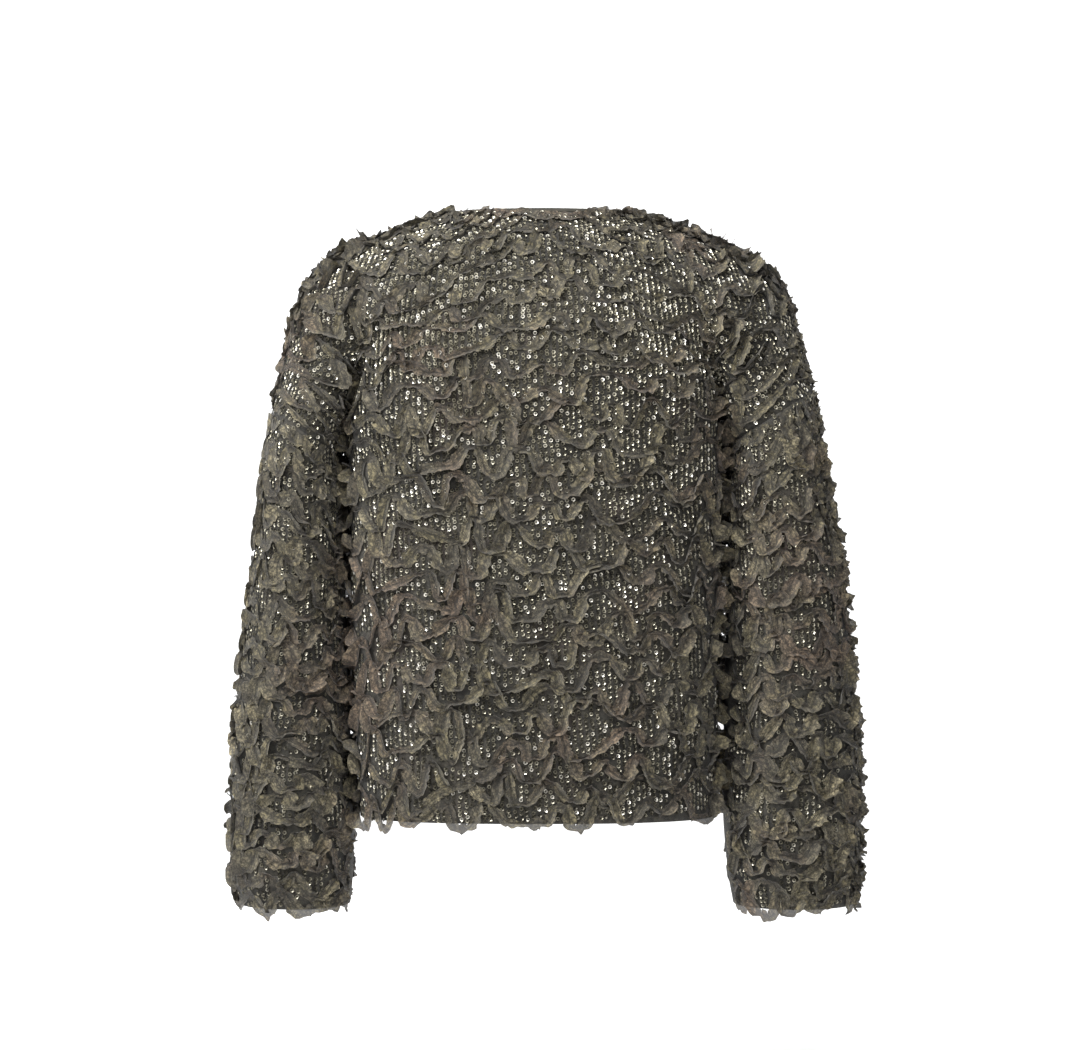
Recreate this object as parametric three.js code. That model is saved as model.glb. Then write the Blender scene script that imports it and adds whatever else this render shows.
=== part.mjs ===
// Cropped long-sleeved blouse: sheer mesh, rows of ruffled tape laid over it, filled out as worn.
// Millimetres, +Z up. The back of the garment faces -Y, its front +Y, and +X is the wearer's right.
// The origin lies midway between the two side neck points, at the height of the neck binding's top.
import * as THREE from "three";

// Cloth and seams
const WALL = 1.6;
const SEAM_GAP = 0.3;
const TAPE_HEIGHT = 2.4; // the highest ridge of tape over the cloth
const TAPE_UNEVENNESS = 0.4; // share of that height by which the ridges differ
const UNEVEN_PER_ROW = 2.1; // radians
const UNEVEN_PER_COLUMN = 0.9;
const COARSEST_PLACE = 0.02; // points nearer than this are one place
const ARC_DIVISIONS = 400; // parts that a curve is measured in

// Neck binding, standing on the neck edges
const BINDING_HEIGHT = 5;
const BINDING_THICKNESS = 2.4;
const BINDING_STEP = 2; // columns of the panels to a step of the binding

// Grid lines of a panel. A row of tape takes two rows of cells, one up to its ridge and one down.
const BODY_COLUMNS = 12; // from the middle of a panel to its side seam
const CLEFT_COLUMNS = 2; // across the fold between body and arm
const ARM_COLUMNS = 10; // half-way round the arm, from the underarm to the shoulder seam
const BODY_ROWS = 28; // hem to underarm
const YOKE_ROWS = 18; // underarm to neck
const SLEEVE_ROWS = 36; // armhole to cuff
const HALF_COLUMNS = BODY_COLUMNS + CLEFT_COLUMNS + ARM_COLUMNS;

// Fullness of the round sections: 2 is an ellipse, and more is squarer
const BODY_FULLNESS = 2.5;
const YOKE_FULLNESS = 2.3;
const SLEEVE_FULLNESS = 2.15;

const CLOTH_COLOUR = 0x55524a;
const BINDING_COLOUR = 0x4a463f;

// Body below the underarm: how far each side seam is from x = 0, and the panels from y = 0
const BODY = [
  { z: -545, left: 165, right: 153, back: 107, front: 108 },
  { z: -430, left: 169.5, right: 155.5, back: 111, front: 114 },
  { z: -320, left: 172.5, right: 158, back: 112, front: 120 },
  { z: -217, left: 175.5, right: 159.5, back: 112, front: 121 },
];

// Sleeves: how far the edge beside the body and the outer edge are from x = 0, half the depth
// of the tube, and how far forward its middle lies
const LEFT_SLEEVE = [
  { z: -184, inner: 183, outer: 243, depth: 70, forward: 0 },
  { z: -222, inner: 183, outer: 249, depth: 70, forward: 0 },
  { z: -321, inner: 180, outer: 259.5, depth: 66, forward: 2 },
  { z: -429, inner: 176.5, outer: 273, depth: 66, forward: 6 },
  { z: -537, inner: 172.5, outer: 280.5, depth: 69, forward: 11 },
  { z: -597, inner: 172.5, outer: 281, depth: 68, forward: 13 },
  { z: -626, inner: 175, outer: 274, depth: 63, forward: 14 },
];
const RIGHT_SLEEVE = [
  { z: -164, inner: 167, outer: 241.5, depth: 70, forward: 0 },
  { z: -212, inner: 167, outer: 248, depth: 70, forward: 0 },
  { z: -321, inner: 165.5, outer: 267, depth: 67, forward: 2 },
  { z: -429, inner: 163, outer: 277.5, depth: 67, forward: 6 },
  { z: -537, inner: 161.5, outer: 284, depth: 70, forward: 11 },
  { z: -597, inner: 166, outer: 283, depth: 69, forward: 13 },
  { z: -626, inner: 171, outer: 279, depth: 64, forward: 14 },
];
const SLEEVE_LEVELLING = 3; // how soon the rings turn from the slant of the armhole to level

// Shoulder line from the outer tip of the armhole to the side neck point
const SHOULDER = [
  { out: 235, z: -146 },
  { out: 229, z: -119 },
  { out: 221.5, z: -90 },
  { out: 212, z: -66 },
  { out: 200, z: -52 },
  { out: 182, z: -39 },
  { out: 146, z: -24 },
  { out: 108, z: -11.5 },
  { out: 70, z: -4 },
];
const SHOULDER_BACKSET = 5; // how far behind y = 0 the side neck point is
const BACKSET_POWER = 2; // how late along the line it moves back
const LEVELLING_POWER = 4; // how late it moves over by the middle's place at the neck

// Middle line of each panel from the underarm level to the neck edge
const BACK_LINE = [
  { y: -112, z: -217 },
  { y: -113, z: -170 },
  { y: -110, z: -120 },
  { y: -101, z: -72 },
  { y: -85, z: -34 },
  { y: -66, z: -10 },
];
const FRONT_LINE = [
  { y: 121, z: -217 },
  { y: 119, z: -185 },
  { y: 110, z: -148 },
  { y: 93, z: -116 },
  { y: 70, z: -90 },
];
const MIDDLE_AT_UNDERARM = -8; // x of the middle line, which hangs a little to the left
const MIDDLE_AT_NECK = -3;

// The fold at the underarm is a sharp cleft low down and fades out on its way up
const CLEFT_RISE = 3;
const CLEFT_REACH = 0.7; // share of the way from the underarm to the neck
const CLEFT_FADE = 0.7; // a power, lower for a sooner fade
const BARE_CLEFT = 0.65; // share of the cleft's reach that carries no raised tape
const SPREADING = [0.12, 0.6]; // shares between which the columns spread out evenly

// Broad soft folds of the back: the middle of each, how far it leans across per millimetre up, how
// deep it is, or how high where the depth is below 0, and half its width and length. The front, whose
// folds don't show, has like ones the other way round.
const FOLDS = [
  { x: 111, z: -243, lean: -0.56, depth: 8, width: 19, length: 88 },
  { x: 128, z: -312, lean: -4, depth: 5, width: 13, length: 34 },
  { x: 130, z: -364, lean: 0, depth: -3.5, width: 22, length: 30 },
  { x: 37, z: -330, lean: -0.21, depth: -4, width: 17, length: 165 },
  { x: 82, z: -420, lean: -0.1, depth: 4.5, width: 15, length: 90 },
  { x: 16, z: -415, lean: -0.15, depth: 2.5, width: 12, length: 48 },
  { x: -85, z: -325, lean: 0.35, depth: 3.5, width: 16, length: 92 },
  { x: -126, z: -400, lean: 0.05, depth: 3, width: 14, length: 80 },
];

// Soft lengthwise folds of the sleeves: the turn round the tube in degrees from the underarm over
// the back, the share of the way to the cuff, the depth, half the width in degrees, half the length
const LEFT_SLEEVE_FOLDS = [
  { turn: 52, share: 0.42, depth: 3.5, width: 24, length: 0.22 },
  { turn: 118, share: 0.7, depth: 3, width: 26, length: 0.16 },
  { turn: 250, share: 0.5, depth: 3, width: 26, length: 0.25 },
];
const RIGHT_SLEEVE_FOLDS = [
  { turn: 38, share: 0.58, depth: 7, width: 24, length: 0.14 },
  { turn: 64, share: 0.3, depth: 3.5, width: 22, length: 0.22 },
  { turn: 112, share: 0.66, depth: 3, width: 26, length: 0.2 },
  { turn: 255, share: 0.45, depth: 3, width: 26, length: 0.25 },
];

const BACK = -1;
const FRONT = 1;
const LEFT = { sign: -1, sleeve: LEFT_SLEEVE, folds: LEFT_SLEEVE_FOLDS };
const RIGHT = { sign: 1, sleeve: RIGHT_SLEEVE, folds: RIGHT_SLEEVE_FOLDS };

// A table's column at a height, through a smooth curve between its rows.
function read(table, column, z) {
  const last = table.length - 1;
  const falling = table[0].z > table[last].z;
  let low = 0;
  while (low < last - 1 && (falling ? table[low + 1].z > z : table[low + 1].z < z)) low += 1;
  const at = (index) => table[Math.min(last, Math.max(0, index))];
  const step = at(low + 1).z - at(low).z;
  const share = THREE.MathUtils.clamp((z - at(low).z) / step, 0, 1);
  const slope = (index) => {
    const span = at(index + 1).z - at(index - 1).z;
    return ((at(index + 1)[column] - at(index - 1)[column]) / span) * step;
  };
  const square = share * share;
  const cube = square * share;
  return (
    (2 * cube - 3 * square + 1) * at(low)[column] +
    (cube - 2 * square + share) * slope(low) +
    (3 * square - 2 * cube) * at(low + 1)[column] +
    (cube - square) * slope(low + 1)
  );
}

// A quarter or a half of a superellipse, from its first axis on: x is the share along that axis.
class Oval extends THREE.Curve {
  constructor(along, across, fullness, turn) {
    super();
    Object.assign(this, { along, across, power: 2 / fullness, turn });
    this.arcLengthDivisions = ARC_DIVISIONS;
  }

  getPoint(share, target = new THREE.Vector3()) {
    const angle = share * this.turn;
    const cosine = Math.cos(angle);
    const sine = Math.max(0, Math.sin(angle));
    const along = Math.sign(cosine) * Math.abs(cosine) ** this.power;
    return target.set(this.along * along, this.across * sine ** this.power, 0);
  }
}

// Heights of the underarm points, and between them a straight slant across the body.
const underarmZ = (side) => side.sleeve[1].z;
function underarmAt(x) {
  const from = -read(BODY, "left", underarmZ(LEFT));
  const to = read(BODY, "right", underarmZ(RIGHT));
  return THREE.MathUtils.mapLinear(x, from, to, underarmZ(LEFT), underarmZ(RIGHT));
}

// A point of a body section: column 0 is the panel's middle, and the last is the side seam.
function bodyPoint(side, face, column, z) {
  const left = read(BODY, "left", z);
  const right = read(BODY, "right", z);
  const middle = (right - left) / 2;
  const depth = read(BODY, face === BACK ? "back" : "front", z);
  const quarter = new Oval(depth, (left + right) / 2, BODY_FULLNESS, Math.PI / 2);
  const point = quarter.getPointAt(column / BODY_COLUMNS);
  return new THREE.Vector3(middle + side.sign * point.y, face * point.x, z);
}

// A point of the torso below the underarm. Row 0 is the hem.
function torsoPoint(side, face, column, row) {
  const share = row / BODY_ROWS;
  const hem = BODY[0].z;
  const level = bodyPoint(side, face, column, THREE.MathUtils.lerp(hem, BODY.at(-1).z, share));
  const point = bodyPoint(side, face, column, THREE.MathUtils.lerp(hem, underarmAt(level.x), share));
  return foldedIn(point, face, 1);
}

// A point of a sleeve ring: share 0 is the armhole and 1 the cuff, column 0 is the underarm.
function sleevePoint(side, face, column, share) {
  const cuff = side.sleeve.at(-1).z;
  const innerZ = THREE.MathUtils.lerp(underarmZ(side), cuff, share);
  const slant = (side.sleeve[0].z - underarmZ(side)) * (1 - share) ** SLEEVE_LEVELLING;
  const outerZ = innerZ + slant;
  const inner = read(side.sleeve, "inner", innerZ);
  const outer = read(side.sleeve, "outer", outerZ);
  const half = Math.hypot(outer - inner, slant) / 2;
  const ring = new Oval(half, read(side.sleeve, "depth", innerZ), SLEEVE_FULLNESS, Math.PI);
  const point = ring.getPointAt(column / ARM_COLUMNS);
  const turn = face === BACK ? column / ARM_COLUMNS : 2 - column / ARM_COLUMNS;
  point.multiplyScalar(1 - sleeveFold(side, turn * 180, share) / point.length());
  const across = (1 - point.x / half) / 2;
  return new THREE.Vector3(
    side.sign * THREE.MathUtils.lerp(inner, outer, across),
    face * point.y + read(side.sleeve, "forward", innerZ),
    THREE.MathUtils.lerp(innerZ, outerZ, across),
  );
}

// How deep the lengthwise folds of a sleeve are at a place.
function sleeveFold(side, turn, share) {
  return side.folds.reduce((sum, fold) => {
    const near = ((turn - fold.turn) / fold.width) ** 2 + ((share - fold.share) / fold.length) ** 2;
    return sum + fold.depth * Math.exp(-near);
  }, 0);
}

// Lowest row of the yoke: the body section, a step over the cleft, then half of the armhole.
function lowestYokePoint(side, face, column) {
  if (column <= BODY_COLUMNS) return torsoPoint(side, face, column, BODY_ROWS);
  const onArm = column - BODY_COLUMNS - CLEFT_COLUMNS;
  if (onArm >= 0) return sleevePoint(side, face, onArm, 0);
  const from = torsoPoint(side, face, BODY_COLUMNS, BODY_ROWS);
  const point = from.lerp(sleevePoint(side, face, 0, 0), (column - BODY_COLUMNS) / CLEFT_COLUMNS);
  point.z += CLEFT_RISE;
  return point;
}

function curveOf(points) {
  const curve = new THREE.CatmullRomCurve3(points, false, "centripetal");
  curve.arcLengthDivisions = ARC_DIVISIONS;
  return curve;
}

const shoulderLines = new Map(
  [LEFT, RIGHT].map((side) => {
    const tip = sleevePoint(side, BACK, ARM_COLUMNS, 0);
    const points = SHOULDER.map(({ out, z }, index) => {
      const toNeck = (index + 1) / SHOULDER.length;
      const shift = MIDDLE_AT_NECK * toNeck ** LEVELLING_POWER;
      const backset = -SHOULDER_BACKSET * toNeck ** BACKSET_POWER;
      return new THREE.Vector3(side.sign * out + shift, backset, z);
    });
    return [side, curveOf([tip, ...points])];
  }),
);
const middleLines = new Map(
  [
    [BACK, BACK_LINE],
    [FRONT, FRONT_LINE],
  ].map(([face, table]) => [face, curveOf(table.map(({ y, z }) => new THREE.Vector3(0, y, z)))]),
);

// A point of the yoke. Row 0 is the underarm level, and the last row is the neck edge.
function yokePoint(side, face, column, row) {
  const rise = row / YOKE_ROWS;
  const low = lowestYokePoint(side, face, column);
  if (row === 0) return low;
  const lowMiddle = lowestYokePoint(side, face, 0);
  const lowTip = lowestYokePoint(side, face, HALF_COLUMNS);
  const middle = middleLines.get(face).getPointAt(rise);
  middle.x = THREE.MathUtils.lerp(MIDDLE_AT_UNDERARM, MIDDLE_AT_NECK, rise);
  middle.z += (lowMiddle.z - middleLines.get(face).getPointAt(0).z) * (1 - rise);
  const tip = shoulderLines.get(side).getPointAt(rise);
  const across = (low.x - lowMiddle.x) / (lowTip.x - lowMiddle.x);
  const width = Math.abs(tip.x - middle.x);
  const section = new Oval(Math.abs(middle.y - tip.y), width, YOKE_FULLNESS, Math.PI / 2);
  const even = section.getPointAt(column / HALF_COLUMNS).y / width;
  const spread = THREE.MathUtils.lerp(across, even, THREE.MathUtils.smoothstep(rise, ...SPREADING));
  const round = Math.max(0, 1 - spread ** YOKE_FULLNESS) ** (1 / YOKE_FULLNESS);
  const smooth = new THREE.Vector3(
    THREE.MathUtils.lerp(middle.x, tip.x, spread),
    THREE.MathUtils.lerp(tip.y, middle.y, round),
    THREE.MathUtils.lerp(tip.z, middle.z, round),
  );
  const lifted = low
    .addScaledVector(middle.sub(lowMiddle), 1 - across)
    .addScaledVector(tip.clone().sub(lowTip), across);
  const faded = Math.sin((Math.min(1, rise / CLEFT_REACH) * Math.PI) / 2) ** CLEFT_FADE;
  return foldedIn(lifted.lerp(smooth, faded), face, faded);
}

// Presses a share of the broad folds into a point of the back or the front.
function foldedIn(point, face, share) {
  const x = face === BACK ? point.x : -point.x;
  const depth = FOLDS.reduce((sum, fold) => {
    const slope = Math.hypot(1, fold.lean);
    const [dx, dz] = [x - fold.x, point.z - fold.z];
    const off = (dx - dz * fold.lean) / slope / fold.width;
    const along = (dx * fold.lean + dz) / slope / fold.length;
    return sum + fold.depth * Math.exp(-(off ** 2) - along ** 2);
  }, 0);
  const flank = Math.min(1, Math.abs(point.y) / BODY.at(-1).back);
  point.y -= face * depth * flank * share;
  return point;
}

// Height of the tape over the cloth: odd rows are ridges, a little uneven from place to place.
function tapeHeight(row, column, rows) {
  if (row % 2 === 0 || row === rows) return 0;
  const wave = (1 + Math.sin(UNEVEN_PER_ROW * row + UNEVEN_PER_COLUMN * column)) / 2;
  return TAPE_HEIGHT * (1 - TAPE_UNEVENNESS * wave);
}

// Where the cleft is deep, its flanks carry no raised tape.
function inCleft(across, row) {
  const rise = (row - BODY_ROWS) / YOKE_ROWS;
  const beside = Math.abs(across - BODY_COLUMNS - CLEFT_COLUMNS / 2) <= CLEFT_COLUMNS;
  return beside && rise >= 0 && rise < CLEFT_REACH * BARE_CLEFT;
}

// A panel of the body. Columns run from the wearer's left to their right, rows from hem to neck.
function bodyPanel(face) {
  const key = (row, column) => `${row},${column}`;
  const rows = BODY_ROWS + YOKE_ROWS;
  const spots = new Map();
  for (let row = 0; row <= rows; row += 1) {
    const reach = row < BODY_ROWS ? BODY_COLUMNS : HALF_COLUMNS;
    for (let column = -reach; column <= reach; column += 1) {
      const side = column < 0 ? LEFT : RIGHT;
      const across = Math.abs(column);
      const point =
        row < BODY_ROWS
          ? torsoPoint(side, face, across, row)
          : yokePoint(side, face, across, row - BODY_ROWS);
      const height = inCleft(across, row) ? 0 : tapeHeight(row, column, rows);
      spots.set(key(row, column), { point, height });
    }
  }
  const columns = counted(-HALF_COLUMNS, HALF_COLUMNS, 1);
  const fineRows = counted(0, rows, 1);
  const coarseRows = fineRows.filter((row) => row % 2 === 0 || inCleft(BODY_COLUMNS, row));
  const cells = (rowList) =>
    gridFaces(rowList, columns, (row, left, right) => {
      const reach = Math.max(Math.abs(left), Math.abs(right));
      return row >= BODY_ROWS || reach <= BODY_COLUMNS;
    }).map((corners) => corners.map(([row, column]) => key(row, column)));
  return {
    spots,
    fine: facing(cells(fineRows), face === FRONT),
    coarse: facing(cells(coarseRows), face === FRONT),
  };
}

// A sleeve, as one tube. Columns run round it from the underarm over the back, rows down to the cuff.
function sleeveTube(side) {
  const around = 2 * ARM_COLUMNS;
  const key = (row, column) => `${row},${(column + around) % around}`;
  const spots = new Map();
  for (let row = 0; row <= SLEEVE_ROWS; row += 1) {
    for (let column = 0; column < around; column += 1) {
      const onBack = column <= ARM_COLUMNS;
      const point = sleevePoint(
        side,
        onBack ? BACK : FRONT,
        onBack ? column : around - column,
        row / SLEEVE_ROWS,
      );
      spots.set(key(row, column), { point, height: tapeHeight(row, column, SLEEVE_ROWS) });
    }
  }
  const cells = (step) =>
    gridFaces(counted(0, SLEEVE_ROWS, step), counted(0, around, 1), () => true).map((corners) =>
      corners.map(([row, column]) => key(row, column)),
    );
  return { spots, fine: facing(cells(1), side === RIGHT), coarse: facing(cells(2), side === RIGHT) };
}

function counted(from, to, step) {
  const list = [];
  for (let value = from; value <= to; value += step) list.push(value);
  return list;
}

// Two triangles for each cell of a grid that is kept, as corners of row and column.
function gridFaces(rows, columns, kept) {
  const faces = [];
  for (let i = 0; i + 1 < rows.length; i += 1) {
    for (let j = 0; j + 1 < columns.length; j += 1) {
      if (!kept(rows[i], columns[j], columns[j + 1])) continue;
      const [a, b] = [rows[i], rows[i + 1]];
      const [c, d] = [columns[j], columns[j + 1]];
      faces.push([[a, c], [a, d], [b, d]], [[a, c], [b, d], [b, c]]);
    }
  }
  return faces;
}

function facing(faces, turned) {
  return turned ? faces.map(([a, b, c]) => [a, c, b]) : faces;
}

// Sums the face normals of all pieces at each place, so that the walls of two pieces meet alike.
const normals = new Map();
const placeOf = (point) => point.toArray().map((value) => Math.round(value / COARSEST_PLACE)).join();
function addNormals(piece) {
  for (const face of piece.fine) {
    const [a, b, c] = face.map((name) => piece.spots.get(name).point);
    const normal = b.clone().sub(a).cross(c.clone().sub(a));
    for (const corner of [a, b, c]) {
      const place = placeOf(corner);
      if (!normals.has(place)) normals.set(place, new THREE.Vector3());
      normals.get(place).add(normal);
    }
  }
}

// The border of a set of faces, as closed loops of names.
function bordersOf(faces) {
  const next = new Map();
  const edges = new Set(faces.flatMap(([a, b, c]) => [`${a}>${b}`, `${b}>${c}`, `${c}>${a}`]));
  for (const edge of edges) {
    const [from, to] = edge.split(">");
    if (!edges.has(`${to}>${from}`)) next.set(from, to);
  }
  const loops = [];
  while (next.size) {
    const loop = [];
    let [name] = next.keys();
    while (next.has(name)) {
      loop.push(name);
      const following = next.get(name);
      next.delete(name);
      name = following;
    }
    loops.push(loop);
  }
  return loops;
}

// How a border point draws back into its own piece, to leave half of the seam gap.
function drawnBack(piece) {
  const inward = new Map();
  for (const loop of bordersOf(piece.fine)) {
    loop.forEach((name, index) => {
      const { point } = piece.spots.get(name);
      const before = piece.spots.get(loop.at(index - 1)).point;
      const after = piece.spots.get(loop[(index + 1) % loop.length]).point;
      const normal = normals.get(placeOf(point)).clone().normalize();
      const way = normal.clone().cross(point.clone().sub(before).normalize());
      way.add(normal.clone().cross(after.clone().sub(point).normalize()));
      inward.set(name, way.multiplyScalar(SEAM_GAP / way.lengthSq()));
    });
  }
  return inward;
}

// The rim between two points of the inner face. Both pieces at a seam part it at the same corner.
function rimTriangles(span, piece, outer, inner) {
  const [first, last] = [span[0], span.at(-1)];
  const place = (name) => placeOf(piece.spots.get(name).point);
  const fromFirst = place(first) < place(last);
  const fan = span.slice(1).flatMap((name, index) => {
    return [outer(name), outer(span[index]), inner(fromFirst ? first : last)];
  });
  return [...fan, outer(fromFirst ? last : first), inner(first), inner(last)];
}

// A closed wall: the outer face with its tape, a plain inner face, and rims that join the two.
function wallGeometry(piece) {
  const inward = drawnBack(piece);
  const corner = (name, height) => {
    const { point } = piece.spots.get(name);
    const normal = normals.get(placeOf(point)).clone().normalize();
    const place = point.clone().addScaledVector(normal, height);
    return inward.has(name) ? place.add(inward.get(name)) : place;
  };
  const outer = (name) => corner(name, piece.spots.get(name).height);
  const inner = (name) => corner(name, -WALL);
  const triangles = [];
  for (const face of piece.fine) triangles.push(...face.map(outer));
  for (const [a, b, c] of piece.coarse) triangles.push(inner(a), inner(c), inner(b));
  const onInside = new Set(bordersOf(piece.coarse).flat());
  for (const loop of bordersOf(piece.fine)) {
    const start = loop.findIndex((name) => onInside.has(name));
    let span = [loop[start]];
    for (const name of [...loop.slice(start + 1), ...loop.slice(0, start + 1)]) {
      span.push(name);
      if (!onInside.has(name)) continue;
      triangles.push(...rimTriangles(span, piece, outer, inner));
      span = [name];
    }
  }
  return new THREE.BufferGeometry().setFromPoints(triangles);
}

// The neck binding: a band along the neck edge of both panels, standing on it.
function bindingGeometry() {
  const edge = [];
  const alongNeck = (side, face, column) => {
    const top = yokePoint(side, face, column, YOKE_ROWS);
    const below = yokePoint(side, face, column, YOKE_ROWS - 1);
    edge.push({ top, up: top.clone().sub(below).normalize() });
  };
  for (let column = 0; column < HALF_COLUMNS; column += BINDING_STEP) alongNeck(RIGHT, BACK, column);
  for (let column = HALF_COLUMNS; column > 0; column -= BINDING_STEP) alongNeck(RIGHT, FRONT, column);
  for (let column = 0; column < HALF_COLUMNS; column += BINDING_STEP) alongNeck(LEFT, FRONT, column);
  for (let column = HALF_COLUMNS; column > 0; column -= BINDING_STEP) alongNeck(LEFT, BACK, column);
  const sections = edge.map(({ top, up }, index) => {
    const before = edge.at(index - 1).top;
    const after = edge[(index + 1) % edge.length].top;
    const out = after.clone().sub(before).cross(up).normalize();
    const foot = top.clone().addScaledVector(up, SEAM_GAP);
    const head = foot.clone().addScaledVector(up, BINDING_HEIGHT);
    const outward = (BINDING_THICKNESS - WALL) / 2;
    return [
      foot.clone().addScaledVector(out, outward),
      head.clone().addScaledVector(out, outward),
      head.clone().addScaledVector(out, outward - BINDING_THICKNESS),
      foot.clone().addScaledVector(out, outward - BINDING_THICKNESS),
    ];
  });
  const triangles = [];
  sections.forEach((section, index) => {
    const after = sections[(index + 1) % sections.length];
    section.forEach((point, corner) => {
      const following = (corner + 1) % section.length;
      triangles.push(point, after[corner], after[following]);
      triangles.push(point, after[following], section[following]);
    });
  });
  return new THREE.BufferGeometry().setFromPoints(triangles);
}

function meshOf(name, geometry, color) {
  const material = new THREE.MeshStandardMaterial({ color, roughness: 0.75, metalness: 0.1 });
  material.name = name;
  const mesh = new THREE.Mesh(geometry, material);
  mesh.name = name;
  return mesh;
}

const pieces = {
  back: bodyPanel(BACK),
  front: bodyPanel(FRONT),
  sleeve_left: sleeveTube(LEFT),
  sleeve_right: sleeveTube(RIGHT),
};
Object.values(pieces).forEach(addNormals);

const blouse = new THREE.Group();
for (const [name, piece] of Object.entries(pieces)) {
  blouse.add(meshOf(name, wallGeometry(piece), CLOTH_COLOUR));
}
blouse.add(meshOf("neck_binding", bindingGeometry(), BINDING_COLOUR));

export default blouse;
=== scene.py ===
"""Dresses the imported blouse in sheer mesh, ruffled tape sewn down in waves, cup sequins and a neck binding.

The tables and the rules of the form are the garment's own sizes, in millimetres. Every mesh is made in
metres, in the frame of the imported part: +Z up, the back of the garment towards -Y, +X towards the
wearer's right.
"""

import logging
import math
from dataclasses import dataclass, field
from enum import Enum
from typing import Callable, Sequence

import bpy
import numpy as np
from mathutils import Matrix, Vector


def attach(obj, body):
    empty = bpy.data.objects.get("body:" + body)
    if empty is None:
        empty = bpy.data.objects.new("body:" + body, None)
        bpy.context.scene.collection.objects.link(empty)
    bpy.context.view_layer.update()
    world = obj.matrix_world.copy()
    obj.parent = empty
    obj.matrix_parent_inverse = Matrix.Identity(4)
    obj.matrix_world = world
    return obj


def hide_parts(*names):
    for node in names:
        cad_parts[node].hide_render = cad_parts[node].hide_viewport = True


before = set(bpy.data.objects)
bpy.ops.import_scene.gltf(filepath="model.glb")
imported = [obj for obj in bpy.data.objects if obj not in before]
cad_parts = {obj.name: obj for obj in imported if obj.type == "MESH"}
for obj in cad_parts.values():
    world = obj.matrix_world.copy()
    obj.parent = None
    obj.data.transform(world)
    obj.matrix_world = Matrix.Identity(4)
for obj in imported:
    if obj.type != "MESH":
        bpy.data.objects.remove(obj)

LOG = logging.getLogger("blouse")
MM = 0.001
ARC_PARTS = 400
GRID_STEP = 0.25  # of a cell of the form's grid, for looking places up
SHEET_STEP = 2  # steps of that grid to a face of the cloth
CHART_STEP = 2.0  # millimetres from one flat place to the next
HANGING = 12.0  # millimetres that tape may hang below an edge
ARM_RISE = 75.0  # millimetres from the underarm up to the armhole's upper end, laid flat
SHOULDER_STEPS = 28  # steps of the grid that lie near a shoulder seam
NECK_STEPS = 12  # steps of the grid that lie near the neck edge

Array = np.ndarray
Socket = bpy.types.NodeSocket
Colour = tuple[float, float, float]
Spread = Callable[[Array, Array], Array]

BODY_COLUMNS = 12
CLEFT_COLUMNS = 2
ARM_COLUMNS = 10
BODY_ROWS = 28
YOKE_ROWS = 18
SLEEVE_ROWS = 36
HALF_COLUMNS = BODY_COLUMNS + CLEFT_COLUMNS + ARM_COLUMNS


class Face(Enum):
    """The two body panels, by the way they face along y."""

    BACK = -1
    FRONT = 1


class Hand(Enum):
    """The wearer's sides, by the way they lie along x."""

    LEFT = -1
    RIGHT = 1


@dataclass(frozen=True)
class Table:
    """Sizes in named columns, read through a smooth curve between the heights in the first column."""

    names: tuple[str, ...]
    rows: tuple[tuple[float, ...], ...]

    def read(self, name: str, z: Array | float) -> Array:
        """Reads a column at heights.

        Args:
            name: The column's name.
            z: The heights.

        Returns:
            The sizes at those heights.
        """
        z = np.asarray(z, float)
        rows = np.array(self.rows, float)
        heights, values = rows[:, 0], rows[:, self.names.index(name)]
        last = len(heights) - 1
        inner = heights[1:-1]
        passed = inner > z[..., None] if heights[0] > heights[-1] else inner < z[..., None]
        low = passed.sum(-1)
        step = heights[low + 1] - heights[low]
        share = np.clip((z - heights[low]) / step, 0, 1)

        def slope(index: Array) -> Array:
            """The change over one step at a row, from its two neighbours."""
            before, after = np.maximum(index - 1, 0), np.minimum(index + 1, last)
            return (values[after] - values[before]) / (heights[after] - heights[before]) * step

        square, cube = share**2, share**3
        return (
            (2 * cube - 3 * square + 1) * values[low]
            + (cube - 2 * square + share) * slope(low)
            + (3 * square - 2 * cube) * values[low + 1]
            + (cube - square) * slope(low + 1)
        )


@dataclass(frozen=True)
class Fold:
    """A broad soft fold of a body panel.

    Attributes:
        x: Sideways place of its middle.
        z: Height of its middle.
        lean: How far it moves sideways for each step up.
        depth: How far it is pressed in.
        width: About half its width.
        length: About half its length.
    """

    x: float
    z: float
    lean: float
    depth: float
    width: float
    length: float


@dataclass(frozen=True)
class SleeveFold:
    """A soft lengthwise fold of a sleeve.

    Attributes:
        turn: Degrees round the sleeve from the underarm, over the back.
        share: Share of the way down.
        depth: How far it is pressed in.
        width: About half its width, in degrees.
        length: About half its length, as a share of the sleeve's.
    """

    turn: float
    share: float
    depth: float
    width: float
    length: float


@dataclass(frozen=True)
class Arm:
    """The sizes of one sleeve.

    Attributes:
        hand: The wearer's side.
        stations: Where its inner and outer sides lie, its half depth and its way to the front.
        folds: Its soft folds.
    """

    hand: Hand
    stations: Table
    folds: tuple[SleeveFold, ...]

    @property
    def underarm(self) -> float:
        """Height of the underarm point."""
        return self.stations.rows[1][0]

    @property
    def top(self) -> float:
        """Height of the shoulder tip."""
        return self.stations.rows[0][0]

    @property
    def cuff(self) -> float:
        """Height of the cuff's edge."""
        return self.stations.rows[-1][0]


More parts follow.
